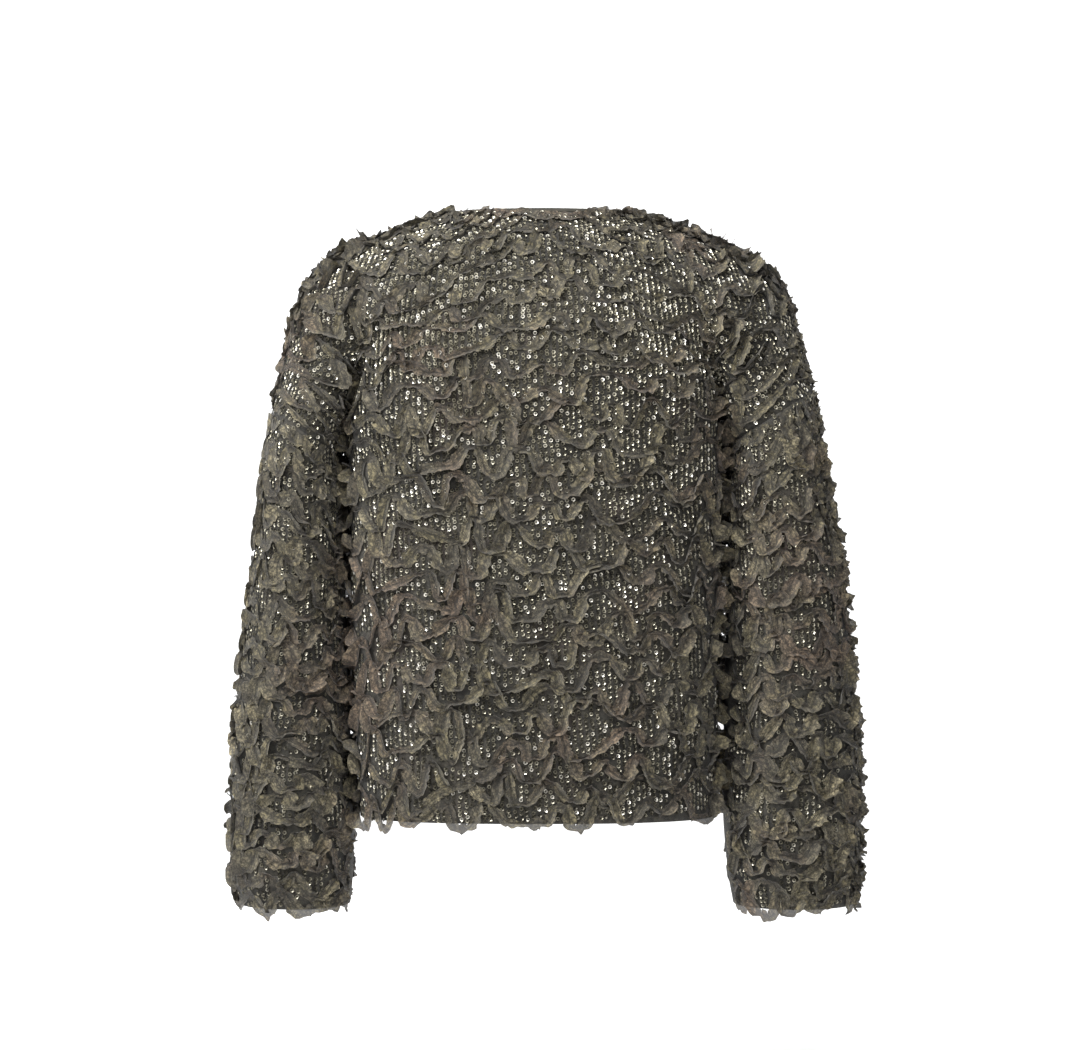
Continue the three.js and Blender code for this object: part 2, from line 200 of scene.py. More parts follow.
BODY = Table(
    ("z", "left", "right", "back", "front"),
    (
        (-545, 165, 153, 107, 108),
        (-430, 169.5, 155.5, 111, 114),
        (-320, 172.5, 158, 112, 120),
        (-217, 175.5, 159.5, 112, 121),
    ),
)
STATIONS = ("z", "inner", "outer", "depth", "forward")
LEFT_ARM = Arm(
    Hand.LEFT,
    Table(
        STATIONS,
        (
            (-184, 183, 243, 70, 0),
            (-222, 183, 249, 70, 0),
            (-321, 180, 259.5, 66, 2),
            (-429, 176.5, 273, 66, 6),
            (-537, 172.5, 280.5, 69, 11),
            (-597, 172.5, 281, 68, 13),
            (-626, 175, 274, 63, 14),
        ),
    ),
    (
        SleeveFold(52, 0.42, 3.5, 24, 0.22),
        SleeveFold(118, 0.7, 3, 26, 0.16),
        SleeveFold(250, 0.5, 3, 26, 0.25),
    ),
)
RIGHT_ARM = Arm(
    Hand.RIGHT,
    Table(
        STATIONS,
        (
            (-164, 167, 241.5, 70, 0),
            (-212, 167, 248, 70, 0),
            (-321, 165.5, 267, 67, 2),
            (-429, 163, 277.5, 67, 6),
            (-537, 161.5, 284, 70, 11),
            (-597, 166, 283, 69, 13),
            (-626, 171, 279, 64, 14),
        ),
    ),
    (
        SleeveFold(38, 0.58, 7, 24, 0.14),
        SleeveFold(64, 0.3, 3.5, 22, 0.22),
        SleeveFold(112, 0.66, 3, 26, 0.2),
        SleeveFold(255, 0.45, 3, 26, 0.25),
    ),
)
ARMS = {Hand.LEFT: LEFT_ARM, Hand.RIGHT: RIGHT_ARM}
SHOULDER = (
    (235, -146),
    (229, -119),
    (221.5, -90),
    (212, -66),
    (200, -52),
    (182, -39),
    (146, -24),
    (108, -11.5),
    (70, -4),
)
MIDDLE_LINES = {
    Face.BACK: ((-112, -217), (-113, -170), (-110, -120), (-101, -72), (-85, -34), (-66, -10)),
    Face.FRONT: ((121, -217), (119, -185), (110, -148), (93, -116), (70, -90)),
}
FOLDS = (
    Fold(111, -243, -0.56, 8, 19, 88),
    Fold(128, -312, -4, 5, 13, 34),
    Fold(130, -364, 0, -3.5, 22, 30),
    Fold(37, -330, -0.21, -4, 17, 165),
    Fold(82, -420, -0.1, 4.5, 15, 90),
    Fold(16, -415, -0.15, 2.5, 12, 48),
    Fold(-85, -325, 0.35, 3.5, 16, 92),
    Fold(-126, -400, 0.05, 3, 14, 80),
)


def mix(a: Array | float, b: Array | float, share: Array | float) -> Array:
    """A place or size a share of the way from one to another."""
    return a + (np.asarray(b) - a) * share


def smoothstep(value: Array | float, low: float, high: float) -> Array:
    """0 below low, 1 above high, and a smooth rise between them."""
    share = np.clip((np.asarray(value) - low) / (high - low), 0, 1)
    return share * share * (3 - 2 * share)


def unit(ways: Array) -> Array:
    """The same directions, each one long."""
    return ways / np.maximum(np.linalg.norm(ways, axis=-1, keepdims=True), 1e-12)


def even_oval(
    along: Array, across: Array, fullness: float, turn: float, share: Array
) -> tuple[Array, Array]:
    """Finds places at even lengths along an arc of a superellipse.

    Args:
        along: Half axes that the arcs start from.
        across: The other half axes.
        fullness: The superellipse's power; 2 is an ellipse.
        turn: The arc's angle in radians.
        share: Shares of the arc's length.

    Returns:
        The places along each axis.
    """
    along, across, share = np.broadcast_arrays(*(np.asarray(v, float) for v in (along, across, share)))
    power = 2 / fullness

    def at(angle: Array) -> tuple[Array, Array]:
        """The two shares of the axes at an angle."""
        cosine, sine = np.cos(angle), np.clip(np.sin(angle), 0, None)
        return np.sign(cosine) * np.abs(cosine) ** power, sine**power

    cx, cy = at(np.linspace(0, turn, ARC_PARTS + 1))
    steps = np.hypot(along[..., None] * np.diff(cx), across[..., None] * np.diff(cy))
    total = np.concatenate([np.zeros(steps.shape[:-1] + (1,)), np.cumsum(steps, -1)], -1)
    target = share * total[..., -1]
    index = (total[..., 1:-1] <= target[..., None]).sum(-1)
    low = np.take_along_axis(total, index[..., None], -1)[..., 0]
    high = np.take_along_axis(total, index[..., None] + 1, -1)[..., 0]
    part = (target - low) / np.maximum(high - low, 1e-12)
    x, y = at(turn * (index + part) / ARC_PARTS)
    return along * x, across * y


class SmoothCurve:
    """A curve through points, with knots spaced by the square root of the distance between them."""

    def __init__(self, points: Sequence[Sequence[float]]) -> None:
        """Measures the curve.

        Args:
            points: The places that the curve passes through.
        """
        self.points = np.array(points, float)
        fine = np.linspace(0, 1, ARC_PARTS + 1)
        self.fine = np.array([self._point(t) for t in fine])
        steps = np.linalg.norm(np.diff(self.fine, axis=0), axis=1)
        self.length_to = np.concatenate([[0], np.cumsum(steps)])

    def _point(self, t: float) -> Array:
        """Finds the place at a parameter.

        Args:
            t: The parameter, from 0 to 1.

        Returns:
            The place.
        """
        p, last = self.points, len(self.points) - 1
        at = min(int(t * last), last - 1)
        weight = t * last - at
        before = p[at - 1] if at > 0 else 2 * p[0] - p[1]
        after = p[at + 2] if at + 2 <= last else 2 * p[last] - p[last - 1]
        a, b, c, d = before, p[at], p[at + 1], after
        ab, bc, cd = (math.sqrt(np.linalg.norm(v)) for v in (b - a, c - b, d - c))
        leave = ((b - a) / ab - (c - a) / (ab + bc) + (c - b) / bc) * bc
        reach = ((c - b) / bc - (d - b) / (bc + cd) + (d - c) / cd) * bc
        two = -3 * b + 3 * c - 2 * leave - reach
        three = 2 * b - 2 * c + leave + reach
        return b + leave * weight + two * weight**2 + three * weight**3

    def at(self, share: Array) -> Array:
        """Places at shares of the curve's length."""
        target = np.asarray(share) * self.length_to[-1]
        return np.stack([np.interp(target, self.length_to, self.fine[:, k]) for k in range(3)], -1)


@dataclass
class Form:
    """The blouse's surface, as it is filled out, by panel, column and row.

    Attributes:
        body_fullness: Superellipse power of the body's sections.
        yoke_fullness: The same over the shoulders.
        sleeve_fullness: The same for the sleeves.
        levelling: How soon the slant of the armhole levels out down the sleeve.
        backset: How far the neck ends of the shoulder lines lie to the back.
        middle_at_underarm: Sideways place of the body's middle at the underarm.
        middle_at_neck: The same at the neck.
        cleft_rise: Height of the small step between the body and the armhole.
        cleft_reach: Share of the yoke's height in which that step fades out.
        cleft_fade: Power of the fading.
        spreading: Shares of the yoke's height in which its columns become evenly spaced.
        shoulders: The lines from the shoulder tips to the neck.
        middles: The middle lines from the underarm level to the neck.
    """

    body_fullness: float = 2.5
    yoke_fullness: float = 2.3
    sleeve_fullness: float = 2.15
    levelling: float = 3
    backset: float = 5
    middle_at_underarm: float = -8
    middle_at_neck: float = -3
    cleft_rise: float = 3
    cleft_reach: float = 0.7
    cleft_fade: float = 0.7
    spreading: tuple[float, float] = (0.12, 0.6)
    shoulders: dict[Hand, SmoothCurve] = field(default_factory=dict)
    middles: dict[Face, SmoothCurve] = field(default_factory=dict)

    def __post_init__(self) -> None:
        """Draws the shoulder lines and the middle lines."""
        for hand, arm in ARMS.items():
            tip = self.sleeve(arm, Face.BACK, np.array(float(ARM_COLUMNS)), np.array(0.0))
            points = [tip]
            for index, (out, z) in enumerate(SHOULDER):
                to_neck = (index + 1) / len(SHOULDER)
                shift = self.middle_at_neck * to_neck**4
                points.append((hand.value * out + shift, -self.backset * to_neck**2, z))
            self.shoulders[hand] = SmoothCurve(points)
        for face, line in MIDDLE_LINES.items():
            self.middles[face] = SmoothCurve([(0, y, z) for y, z in line])

    def underarm(self, x: Array) -> Array:
        """Finds the height of the line between the two underarm points.

        Args:
            x: Sideways places.

        Returns:
            The heights there.
        """
        left, right = LEFT_ARM.underarm, RIGHT_ARM.underarm
        start, end = -BODY.read("left", left), BODY.read("right", right)
        return mix(left, right, (x - start) / (end - start))

    def section(self, hand: Hand, face: Face, column: Array, z: Array) -> Array:
        """Finds places of a body section.

        Args:
            hand: The wearer's side.
            face: The panel.
            column: The columns, from the middle out.
            z: The heights.

        Returns:
            The places.
        """
        left, right = BODY.read("left", z), BODY.read("right", z)
        depth = BODY.read("back" if face is Face.BACK else "front", z)
        y, x = even_oval(depth, (left + right) / 2, self.body_fullness, math.pi / 2, column / BODY_COLUMNS)
        return np.stack([(right - left) / 2 + hand.value * x, face.value * y, z + 0 * x], -1)

    def torso(self, hand: Hand, face: Face, column: Array, row: Array) -> Array:
        """Finds places of the body from the hem, row 0, to the underarm.

        Args:
            hand: The wearer's side.
            face: The panel.
            column: The columns, from the middle out.
            row: The rows, from the hem up.

        Returns:
            The places.
        """
        share, hem = row / BODY_ROWS, BODY.rows[0][0]
        level = self.section(hand, face, column, mix(hem, BODY.rows[-1][0], share))
        top = self.underarm(level[..., 0])
        return self.folded(self.section(hand, face, column, mix(hem, top, share)), face, 1)

    def sleeve(self, arm: Arm, face: Face, column: Array, share: Array) -> Array:
        """Finds places of a sleeve.

        Args:
            arm: The sleeve's sizes.
            face: The half of the sleeve, towards the back or the front.
            column: The columns, from the underarm out.
            share: Shares of the way down, from 0 at the armhole to 1 at the cuff.

        Returns:
            The places.
        """
        inner_z = mix(arm.underarm, arm.cuff, share)
        slant = (arm.top - arm.underarm) * (1 - share) ** self.levelling
        outer_z = inner_z + slant
        inner, outer = arm.stations.read("inner", inner_z), arm.stations.read("outer", outer_z)
        half = np.hypot(outer - inner, slant) / 2
        depth = arm.stations.read("depth", inner_z)
        x, y = even_oval(half, depth, self.sleeve_fullness, math.pi, column / ARM_COLUMNS)
        turn = 180 * (column / ARM_COLUMNS if face is Face.BACK else 2 - column / ARM_COLUMNS)
        fold = sum(
            f.depth * np.exp(-(((turn - f.turn) / f.width) ** 2) - ((share - f.share) / f.length) ** 2)
            for f in arm.folds
        )
        shrink = 1 - fold / np.hypot(x, y)
        across = (1 - x * shrink / half) / 2
        return np.stack(
            [
                arm.hand.value * mix(inner, outer, across),
                face.value * y * shrink + arm.stations.read("forward", inner_z),
                mix(inner_z, outer_z, across),
            ],
            -1,
        )

    def folded(self, points: Array, face: Face, share: Array | float) -> Array:
        """Presses the broad folds into places of the back or the front.

        Args:
            points: The places.
            face: The panel. The front has the back's folds, turned round.
            share: How much of each fold's depth is pressed in.

        Returns:
            The moved places.
        """
        x = points[..., 0] if face is Face.BACK else -points[..., 0]
        depth = np.zeros(x.shape)
        for fold in FOLDS:
            slope = math.hypot(1, fold.lean)
            dx, dz = x - fold.x, points[..., 2] - fold.z
            off = (dx - dz * fold.lean) / slope / fold.width
            along = (dx * fold.lean + dz) / slope / fold.length
            depth += fold.depth * np.exp(-(off**2) - along**2)
        flank = np.minimum(1, np.abs(points[..., 1]) / BODY.rows[-1][3])
        moved = points.copy()
        moved[..., 1] -= face.value * depth * flank * share
        return moved

    def yoke_foot(self, hand: Hand, face: Face, column: Array) -> Array:
        """Finds the yoke's lowest row: the body section, a step over the cleft, then half of the armhole.

        Args:
            hand: The wearer's side.
            face: The panel.
            column: The columns, from the middle out.

        Returns:
            The places.
        """
        arm = ARMS[hand]
        top_row = np.full(column.shape, float(BODY_ROWS))
        body = self.torso(hand, face, np.minimum(column, BODY_COLUMNS), top_row)
        on_arm = np.clip(column - BODY_COLUMNS - CLEFT_COLUMNS, 0, ARM_COLUMNS)
        sleeve = self.sleeve(arm, face, on_arm, np.zeros(column.shape))
        share = np.clip((column - BODY_COLUMNS) / CLEFT_COLUMNS, 0, 1)
        foot = mix(body, sleeve, share[:, None])
        foot[:, 2] += self.cleft_rise * (1 - np.abs(2 * share - 1))
        return foot

    def yoke(self, hand: Hand, face: Face, column: Array, row: Array) -> Array:
        """Places of the yoke: row 0 is the underarm level, and the last row the neck edge.

        Args:
            hand: The wearer's side.
            face: The panel.
            column: The columns, from the middle out.
            row: The rows, from the underarm up.

        Returns:
            The places, by row and column.
        """
        rise = (row / YOKE_ROWS)[:, None]
        foot = self.yoke_foot(hand, face, column)[None]
        ends = self.yoke_foot(hand, face, np.array([0.0, float(HALF_COLUMNS)]))
        line = self.middles[face]
        middle = line.at(rise[:, 0])[:, None, :]
        middle[..., 0] = mix(self.middle_at_underarm, self.middle_at_neck, rise)
        middle[..., 2] += (ends[0, 2] - line.at(np.array([0.0]))[0, 2]) * (1 - rise)
        tip = self.shoulders[hand].at(rise[:, 0])[:, None, :]
        across = (foot[..., 0] - ends[0, 0]) / (ends[1, 0] - ends[0, 0])
        width = np.abs(tip[..., 0] - middle[..., 0])
        depth = np.abs(middle[..., 1] - tip[..., 1])
        shares = column[None] / HALF_COLUMNS
        even = even_oval(depth, width, self.yoke_fullness, math.pi / 2, shares)[1] / width
        spread = mix(across, even, smoothstep(rise, *self.spreading))
        full = self.yoke_fullness
        round_share = np.clip(1 - np.clip(spread, 0, 1) ** full, 0, None) ** (1 / full)
        smooth = np.stack(
            [
                mix(middle[..., 0], tip[..., 0], spread),
                mix(tip[..., 1], middle[..., 1], round_share),
                mix(tip[..., 2], middle[..., 2], round_share),
            ],
            -1,
        )
        lifted = foot + (middle - ends[0]) * (1 - across)[..., None] + (tip - ends[1]) * across[..., None]
        faded = np.sin(np.minimum(1, rise / self.cleft_reach) * math.pi / 2) ** self.cleft_fade
        points = mix(lifted, smooth, faded[..., None])
        pressed = self.folded(points, face, faded)
        return np.where(rise[..., None] > 0, pressed, foot + 0 * points)


def hung_on(grid: Array, pitch: float, steps: int) -> Array:
    """Adds rows below a grid's first row, straight on down, for what hangs over the edge.

    Args:
        grid: Places in millimetres, by row and column.
        pitch: Distance from row to row.
        steps: How many rows are added.

    Returns:
        The longer grid.
    """
    way = unit(grid[0] - grid[2])
    extra = [grid[0] + way * pitch * k for k in range(steps, 0, -1)]
    return np.concatenate([np.array(extra), grid])


def grid_normals(grid: Array, sign: float) -> Array:
    """Directions out of a grid of places, from the steps along its rows and columns."""
    up, along = np.gradient(grid, axis=0), np.gradient(grid, axis=1)
    return unit(np.cross(along, up)) * sign


def look_up(grid: Array, row: Array, column: Array) -> Array:
    """Reads a grid between its places.

    Args:
        grid: Values by row and column.
        row: Rows, with fractions.
        column: Columns, with fractions.

    Returns:
        The values there.
    """
    r = np.clip(row, 0, grid.shape[0] - 1.001)
    c = np.clip(column, 0, grid.shape[1] - 1.001)
    r0, c0 = r.astype(int), c.astype(int)
    fr, fc = (r - r0)[..., None], (c - c0)[..., None]
    low = mix(grid[r0, c0], grid[r0, c0 + 1], fc)
    high = mix(grid[r0 + 1, c0], grid[r0 + 1, c0 + 1], fc)
    return mix(low, high, fr)


@dataclass
class Chart:
    """A panel laid flat: places, outward ways and whether there is cloth, at every step across and up.

    Attributes:
        places: Places in metres, by level and step across.
        outward: Directions out of the cloth there.
        cloth: 1 where there is cloth.
        across: The steps across, in millimetres from the panel's middle.
        up: The levels, in millimetres from its lower edge.
        closed: Whether the cloth goes round, as on a sleeve.
    """

    places: Array
    outward: Array
    cloth: Array
    across: Array
    up: Array
    closed: bool = False

    def at(self, a: Array, b: Array) -> tuple[Array, Array, Array]:
        """Looks up flat places.

        Args:
            a: Millimetres across.
            b: Millimetres up.

        Returns:
            The places, the outward ways, and whether there is cloth.
        """
        if self.closed:
            span = self.across[-1] - self.across[0]
            a = (a - self.across[0]) % span + self.across[0]
        column = (a - self.across[0]) / (self.across[1] - self.across[0])
        row = (b - self.up[0]) / (self.up[1] - self.up[0])
        inside = (row >= 0) & (row <= len(self.up) - 1) & (column >= 0) & (column <= len(self.across) - 1)
        kept = look_up(self.cloth[..., None], row, column)[..., 0] > 0.98
        return look_up(self.places, row, column), unit(look_up(self.outward, row, column)), kept & inside


def body_chart(grid: Array, outward: Array, columns: Array, rows: Array) -> Chart:
    """Lays a body panel flat: levels are lengths up each column, steps across are lengths along a level.

    Args:
        grid: Places in millimetres, by row and column.
        outward: Directions out of the cloth.
        columns: The columns' numbers.
        rows: The rows' numbers.

    Returns:
        The flat panel.
    """
    reach = np.abs(columns)
    split, hem = np.searchsorted(rows, BODY_ROWS), np.searchsorted(rows, 0)
    first = np.where(reach <= BODY_COLUMNS, 0, split)
    steps = np.linalg.norm(np.diff(grid, axis=0), axis=-1)
    length = np.concatenate([np.zeros((1, len(columns))), np.cumsum(steps, 0)])
    body = length[split, len(columns) // 2] - length[hem, len(columns) // 2]
    share = np.clip((reach - BODY_COLUMNS) / (HALF_COLUMNS - BODY_COLUMNS), 0, 1)
    arm_curve = 1.3
    level_of = length - length[split][None] + body + ARM_RISE * share[None] ** arm_curve
    up = np.arange(-HANGING, level_of.max() + CHART_STEP, CHART_STEP)
    row_at = np.empty((len(up), len(columns)))
    exists = np.zeros(row_at.shape)
    for index in range(len(columns)):
        start = first[index]
        row_at[:, index] = np.interp(up, level_of[start:, index], rows[start:])
        floor = level_of[start, index] if start else -HANGING
        exists[:, index] = (up >= floor - 1e-6) & (up <= level_of[-1, index])
    scale = 1 / (rows[1] - rows[0])
    index_at = np.broadcast_to(np.arange(len(columns), dtype=float), row_at.shape)
    level_places = look_up(grid, (row_at - rows[0]) * scale, index_at)
    level_ways = look_up(outward, (row_at - rows[0]) * scale, index_at)
    half = len(columns) // 2
    widths = np.linalg.norm(np.diff(level_places, axis=1), axis=-1)
    along = np.zeros(row_at.shape)
    along[:, half + 1:] = np.cumsum(widths[:, half:], 1)
    along[:, :half] = -np.cumsum(widths[:, :half][:, ::-1], 1)[:, ::-1]
    left_end = math.floor(along.min() / CHART_STEP) * CHART_STEP
    across = np.arange(left_end, along.max() + CHART_STEP, CHART_STEP)
    places = np.empty((len(up), len(across), 3))
    ways = np.empty_like(places)
    cloth = np.zeros(places.shape[:2])
    numbers = np.arange(len(columns))
    for level in range(len(up)):
        at = np.interp(across, along[level], numbers)
        for k in range(3):
            places[level, :, k] = np.interp(at, numbers, level_places[level, :, k])
            ways[level, :, k] = np.interp(at, numbers, level_ways[level, :, k])
        within = (across >= along[level, 0]) & (across <= along[level, -1])
        cloth[level] = within & (np.interp(at, numbers, exists[level]) > 0.99)
    return Chart(places * MM, unit(ways), cloth, across, up)


def edge_chart(
    lines: Array, ways: Array, start: int, reach: tuple[float, float], closed: bool = False
) -> Chart:
    """Lays flat a band of cloth that follows an edge or a seam.

    Args:
        lines: Places in millimetres, by station along the edge and step over it.
        ways: Directions out of the cloth there.
        start: The step that lies on the edge itself.
        reach: How far the band goes on the two sides of the edge.
        closed: Whether the edge goes all the way round.

    Returns:
        The flat band, whose level 0 is the edge.
    """
    beyond = 90  # millimetres that each line is drawn on, straight, past its ends
    over = np.arange(reach[0], reach[1] + CHART_STEP / 2, CHART_STEP)
    band, out = np.empty((len(lines), len(over), 3)), np.empty((len(lines), len(over), 3))
    for index, (line, way) in enumerate(zip(lines, ways)):
        length = np.concatenate([[0], np.cumsum(np.linalg.norm(np.diff(line, axis=0), axis=1))])
        length -= length[start]
        before, after = unit(line[0] - line[1]), unit(line[-1] - line[-2])
        long = np.concatenate([[-beyond], length, [length[-1] + beyond]])
        ends = [line[0] + before * (beyond + length[0])], [line[-1] + after * beyond]
        far = np.concatenate([ends[0], line, ends[1]])
        for k in range(3):
            band[index, :, k] = np.interp(over, long, far[:, k])
            out[index, :, k] = np.interp(over, length, way[:, k])
    edge = band[:, int(np.argmin(np.abs(over)))]
    along = np.concatenate([[0], np.cumsum(np.linalg.norm(np.diff(edge, axis=0), axis=1))])
    across = np.linspace(0, along[-1], int(along[-1] / CHART_STEP))
    places, outward = (
        np.stack([[np.interp(across, along, part[:, j, k]) for k in range(3)] for j in range(len(over))], 0)
        for part in (band, out)
    )
    places, outward = places.transpose(0, 2, 1), outward.transpose(0, 2, 1)
    return Chart(places * MM, unit(outward), np.ones(places.shape[:2]), across, over, closed)


def mesh_object(
    name: str,
    vertices: Array,
    faces: Sequence[Sequence[int]],
    attributes: dict[str, Array] | None = None,
    uv: Array | None = None,
) -> bpy.types.Object:
    """Makes a mesh object at the origin.

    Args:
        name: The object's name.
        vertices: Places in metres.
        faces: Corners of each face.
        attributes: Values to keep at the vertices, by name; three numbers make a vector.
        uv: A flat place for each vertex.

    Returns:
        The object, linked to the scene.
    """
    mesh = bpy.data.meshes.new(name)
    mesh.from_pydata(vertices.tolist(), [], [list(map(int, f)) for f in faces])
    for key, values in (attributes or {}).items():
        kind, slot = ("FLOAT_VECTOR", "vector") if values.ndim == 2 else ("FLOAT", "value")
        layer = mesh.attributes.new(key, kind, "POINT")
        layer.data.foreach_set(slot, np.ascontiguousarray(values, np.float32).ravel())
    if uv is not None:
        corners = np.empty(len(mesh.loops), np.int32)
        mesh.loops.foreach_get("vertex_index", corners)
        layer = mesh.uv_layers.new(name="flat")
        layer.data.foreach_set("uv", uv[corners].astype(np.float32).ravel())
    if len(mesh.polygons):
        mesh.polygons.foreach_set("use_smooth", np.ones(len(mesh.polygons), bool))
    mesh.update()
    thing = bpy.data.objects.new(name, mesh)
    bpy.context.scene.collection.objects.link(thing)
    return thing


def grid_cells(rows: int, columns: int, closed: bool = False) -> Array:
    """Numbers the corners of the cells of a grid.

    Args:
        rows: Rows of vertices.
        columns: Vertices in a row.
        closed: Whether each row is a ring.

    Returns:
        Four corners for each cell, wound from row to row and column to column.
    """
    count = columns if closed else columns - 1
    r, c = np.meshgrid(np.arange(rows - 1), np.arange(count), indexing="ij")
    after = (c + 1) % columns
    cells = [r * columns + c, r * columns + after, (r + 1) * columns + after, (r + 1) * columns + c]
    return np.stack(cells, -1).reshape(-1, 4)


class Nodes:
    """Adds and joins nodes of one tree in few words."""

    def __init__(self, tree: bpy.types.NodeTree) -> None:
        """Keeps the tree.

        Args:
            tree: The node tree to add to.
        """
        self.tree = tree

    def add(
        self, kind: str, inputs: dict[int | str, object] | None = None, **settings: object
    ) -> bpy.types.Node:
        """Adds a node.

        Args:
            kind: The node's type name.
            inputs: What goes into each input, a socket or a value, by the input's name or number.
            **settings: The node's own settings.

        Returns:
            The node.
        """
        node = self.tree.nodes.new(kind)
        for key, value in settings.items():
            setattr(node, key, value)
        for key, value in (inputs or {}).items():
            if isinstance(value, Socket):
                self.tree.links.new(value, node.inputs[key])
            else:
                node.inputs[key].default_value = value
        return node

    def maths(self, operation: str, *values: object) -> Socket:
        """The result of a sum on numbers or sockets."""
        return self.add("ShaderNodeMath", dict(enumerate(values)), operation=operation).outputs[0]

    def vector(self, operation: str, *values: object) -> Socket:
        """The result of a sum on vectors."""
        return self.add("ShaderNodeVectorMath", dict(enumerate(values)), operation=operation).outputs[0]

    def scaled(self, way: Socket, factor: object) -> Socket:
        """A vector times a number."""
        return self.add("ShaderNodeVectorMath", {0: way, "Scale": factor}, operation="SCALE").outputs[0]

    def product(self, first: object, *others: object) -> Socket:
        """Multiplies numbers or sockets, in order.

        Args:
            first: The first of them.
            *others: The rest.

        Returns:
            The product.
        """
        for other in others:
            first = self.maths("MULTIPLY", first, other)
        return first

    def ranged(self, value: object, span: tuple[float, float], onto: tuple[float, float]) -> Socket:
        """A number moved from one range onto another, and held at its ends."""
        return self.add("ShaderNodeMapRange", dict(enumerate((value, *span, *onto)))).outputs[0]

    def noise(self, where: Socket, scale: float, detail: float = 3, rough: float = 0.5) -> Socket:
        """Soft noise from 0 to 1 at places."""
        inputs = {"Vector": where, "Scale": scale, "Detail": detail, "Roughness": rough}
        return self.add("ShaderNodeTexNoise", inputs).outputs["Fac"]

    def place(self) -> Socket:
        """The place on the object, for a material."""
        return self.add("ShaderNodeTexCoord").outputs["Object"]

    def flat(self) -> Socket:
        """The place on the flat cloth or tape, for a material."""
        return self.add("ShaderNodeUVMap", uv_map="flat").outputs["UV"]

    def kept(self, name: str) -> Socket:
        """A number kept on the mesh under a name, for a material."""
        return self.add("ShaderNodeAttribute", attribute_name=name).outputs["Fac"]

    def ramp(self, value: Socket, stops: Sequence[tuple[float, Colour]]) -> Socket:
        """Colours blended by a number.

        Args:
            value: The number from 0 to 1.
            stops: Places and their colours, as in a picture.

        Returns:
            The colour socket.
        """
        node = self.add("ShaderNodeValToRGB", {0: value})
        marks = node.color_ramp.elements
        while len(marks) < len(stops):
            marks.new(0.5)
        for mark, (at, colour) in zip(marks, stops):
            mark.position = at
            mark.color = srgb(*colour)
        return node.outputs["Color"]

    def blend(self, share: object, a: object, b: object) -> Socket:
        """Mixes two colours.

        Args:
            share: How much of the second, a socket or a number.
            a: The first colour, a socket or a value.
            b: The second colour.

        Returns:
            The colour socket.
        """
        node = self.add("ShaderNodeMix", data_type="RGBA")
        for socket, value in ((node.inputs[0], share), (node.inputs[6], a), (node.inputs[7], b)):
            if isinstance(value, Socket):
                self.tree.links.new(value, socket)
            else:
                socket.default_value = value
        return node.outputs[2]


def srgb(red: float, green: float, blue: float) -> tuple[float, float, float, float]:
    """Turns a colour as in a picture into the renderer's own numbers.

    Args:
        red: From 0 to 255.
        green: From 0 to 255.
        blue: From 0 to 255.

    Returns:
        The three channels and full cover.
    """
    def linear(value: float) -> float:
        """One channel."""
        share = value / 255
        return share / 12.92 if share <= 0.04045 else ((share + 0.055) / 1.055) ** 2.4

    return (linear(red), linear(green), linear(blue), 1.0)


def new_material(name: str) -> tuple[bpy.types.Material, Nodes, bpy.types.Node]:
    """Starts a material.

    Args:
        name: The material's name.

    Returns:
        The material, its node helper and its main shader.
    """
    material = bpy.data.materials.new(name)
    material.use_nodes = True
    nodes = Nodes(material.node_tree)
    return material, nodes, material.node_tree.nodes["Principled BSDF"]


def join_bump(nodes: Nodes, shader: bpy.types.Node, height: Socket, depth: float) -> None:
    """Lets a height shape the shading."""
    bump = nodes.add("ShaderNodeBump", {"Height": height, "Distance": depth, "Strength": 1.0})
    nodes.tree.links.new(bump.outputs["Normal"], shader.inputs["Normal"])


@dataclass(frozen=True)
class MeshFinish:
    """Sheer mesh: a fine net with a dull sheen, olive grey with browner places and patches of painted light
    and shade.

    Attributes:
        name: The material's name.
        dark: The darkest parts, as in a picture, like the tones after it.
        light: The lightest parts.
        brown: The browner places.
        net_pitch: Size of the net's holes in metres.
        between: How much darker the cloth is between the threads.
        patches: Browner places to a metre.
        painted_pucker_shading: Patches of painted light and shade to a metre, as on a puckered cloth.
        roughness: Of the surface.
        sheen: Share of a soft sheen.
        relief: Depth of the threads' relief in metres.
    """

    name: str = "sheer_mesh"
    dark: Colour = (34, 32, 26)
    light: Colour = (52, 49, 41)
    brown: Colour = (58, 48, 42)
    net_pitch: float = 0.0011
    between: float = 0.55
    patches: float = 11
    painted_pucker_shading: float = 240
    roughness: float = 0.85
    sheen: float = 0.1
    relief: float = 0.0002

    def material(self) -> bpy.types.Material:
        """Makes the finish.

        Returns:
            The material.
        """
        material, nodes, shader = new_material(self.name)
        place = nodes.place()
        stops = [(0.35, self.dark), (0.55, self.light), (0.72, self.brown)]
        base = nodes.ramp(nodes.noise(place, self.patches, 4, 0.6), stops)
        holes = {"Vector": nodes.flat(), "Scale": 1 / self.net_pitch}
        net = nodes.add("ShaderNodeTexVoronoi", holes, feature="DISTANCE_TO_EDGE")
        thread = nodes.ranged(net.outputs["Distance"], (0.05, 0.25), (1.0, 0.0))
        colour = nodes.blend(thread, nodes.blend(self.between, base, (0, 0, 0, 1)), base)
        # Painted light and shade: soft patches of the colour darkened and lightened, as on a puckered cloth.
        shade = nodes.ranged(nodes.noise(place, self.painted_pucker_shading, 4, 0.65), (0.36, 0.66), (0.4, 1.7))
        nodes.tree.links.new(nodes.scaled(colour, shade), shader.inputs["Base Color"])
        shader.inputs["Roughness"].default_value = self.roughness
        shader.inputs["Sheen Weight"].default_value = self.sheen
        join_bump(nodes, shader, thread, self.relief)
        return material


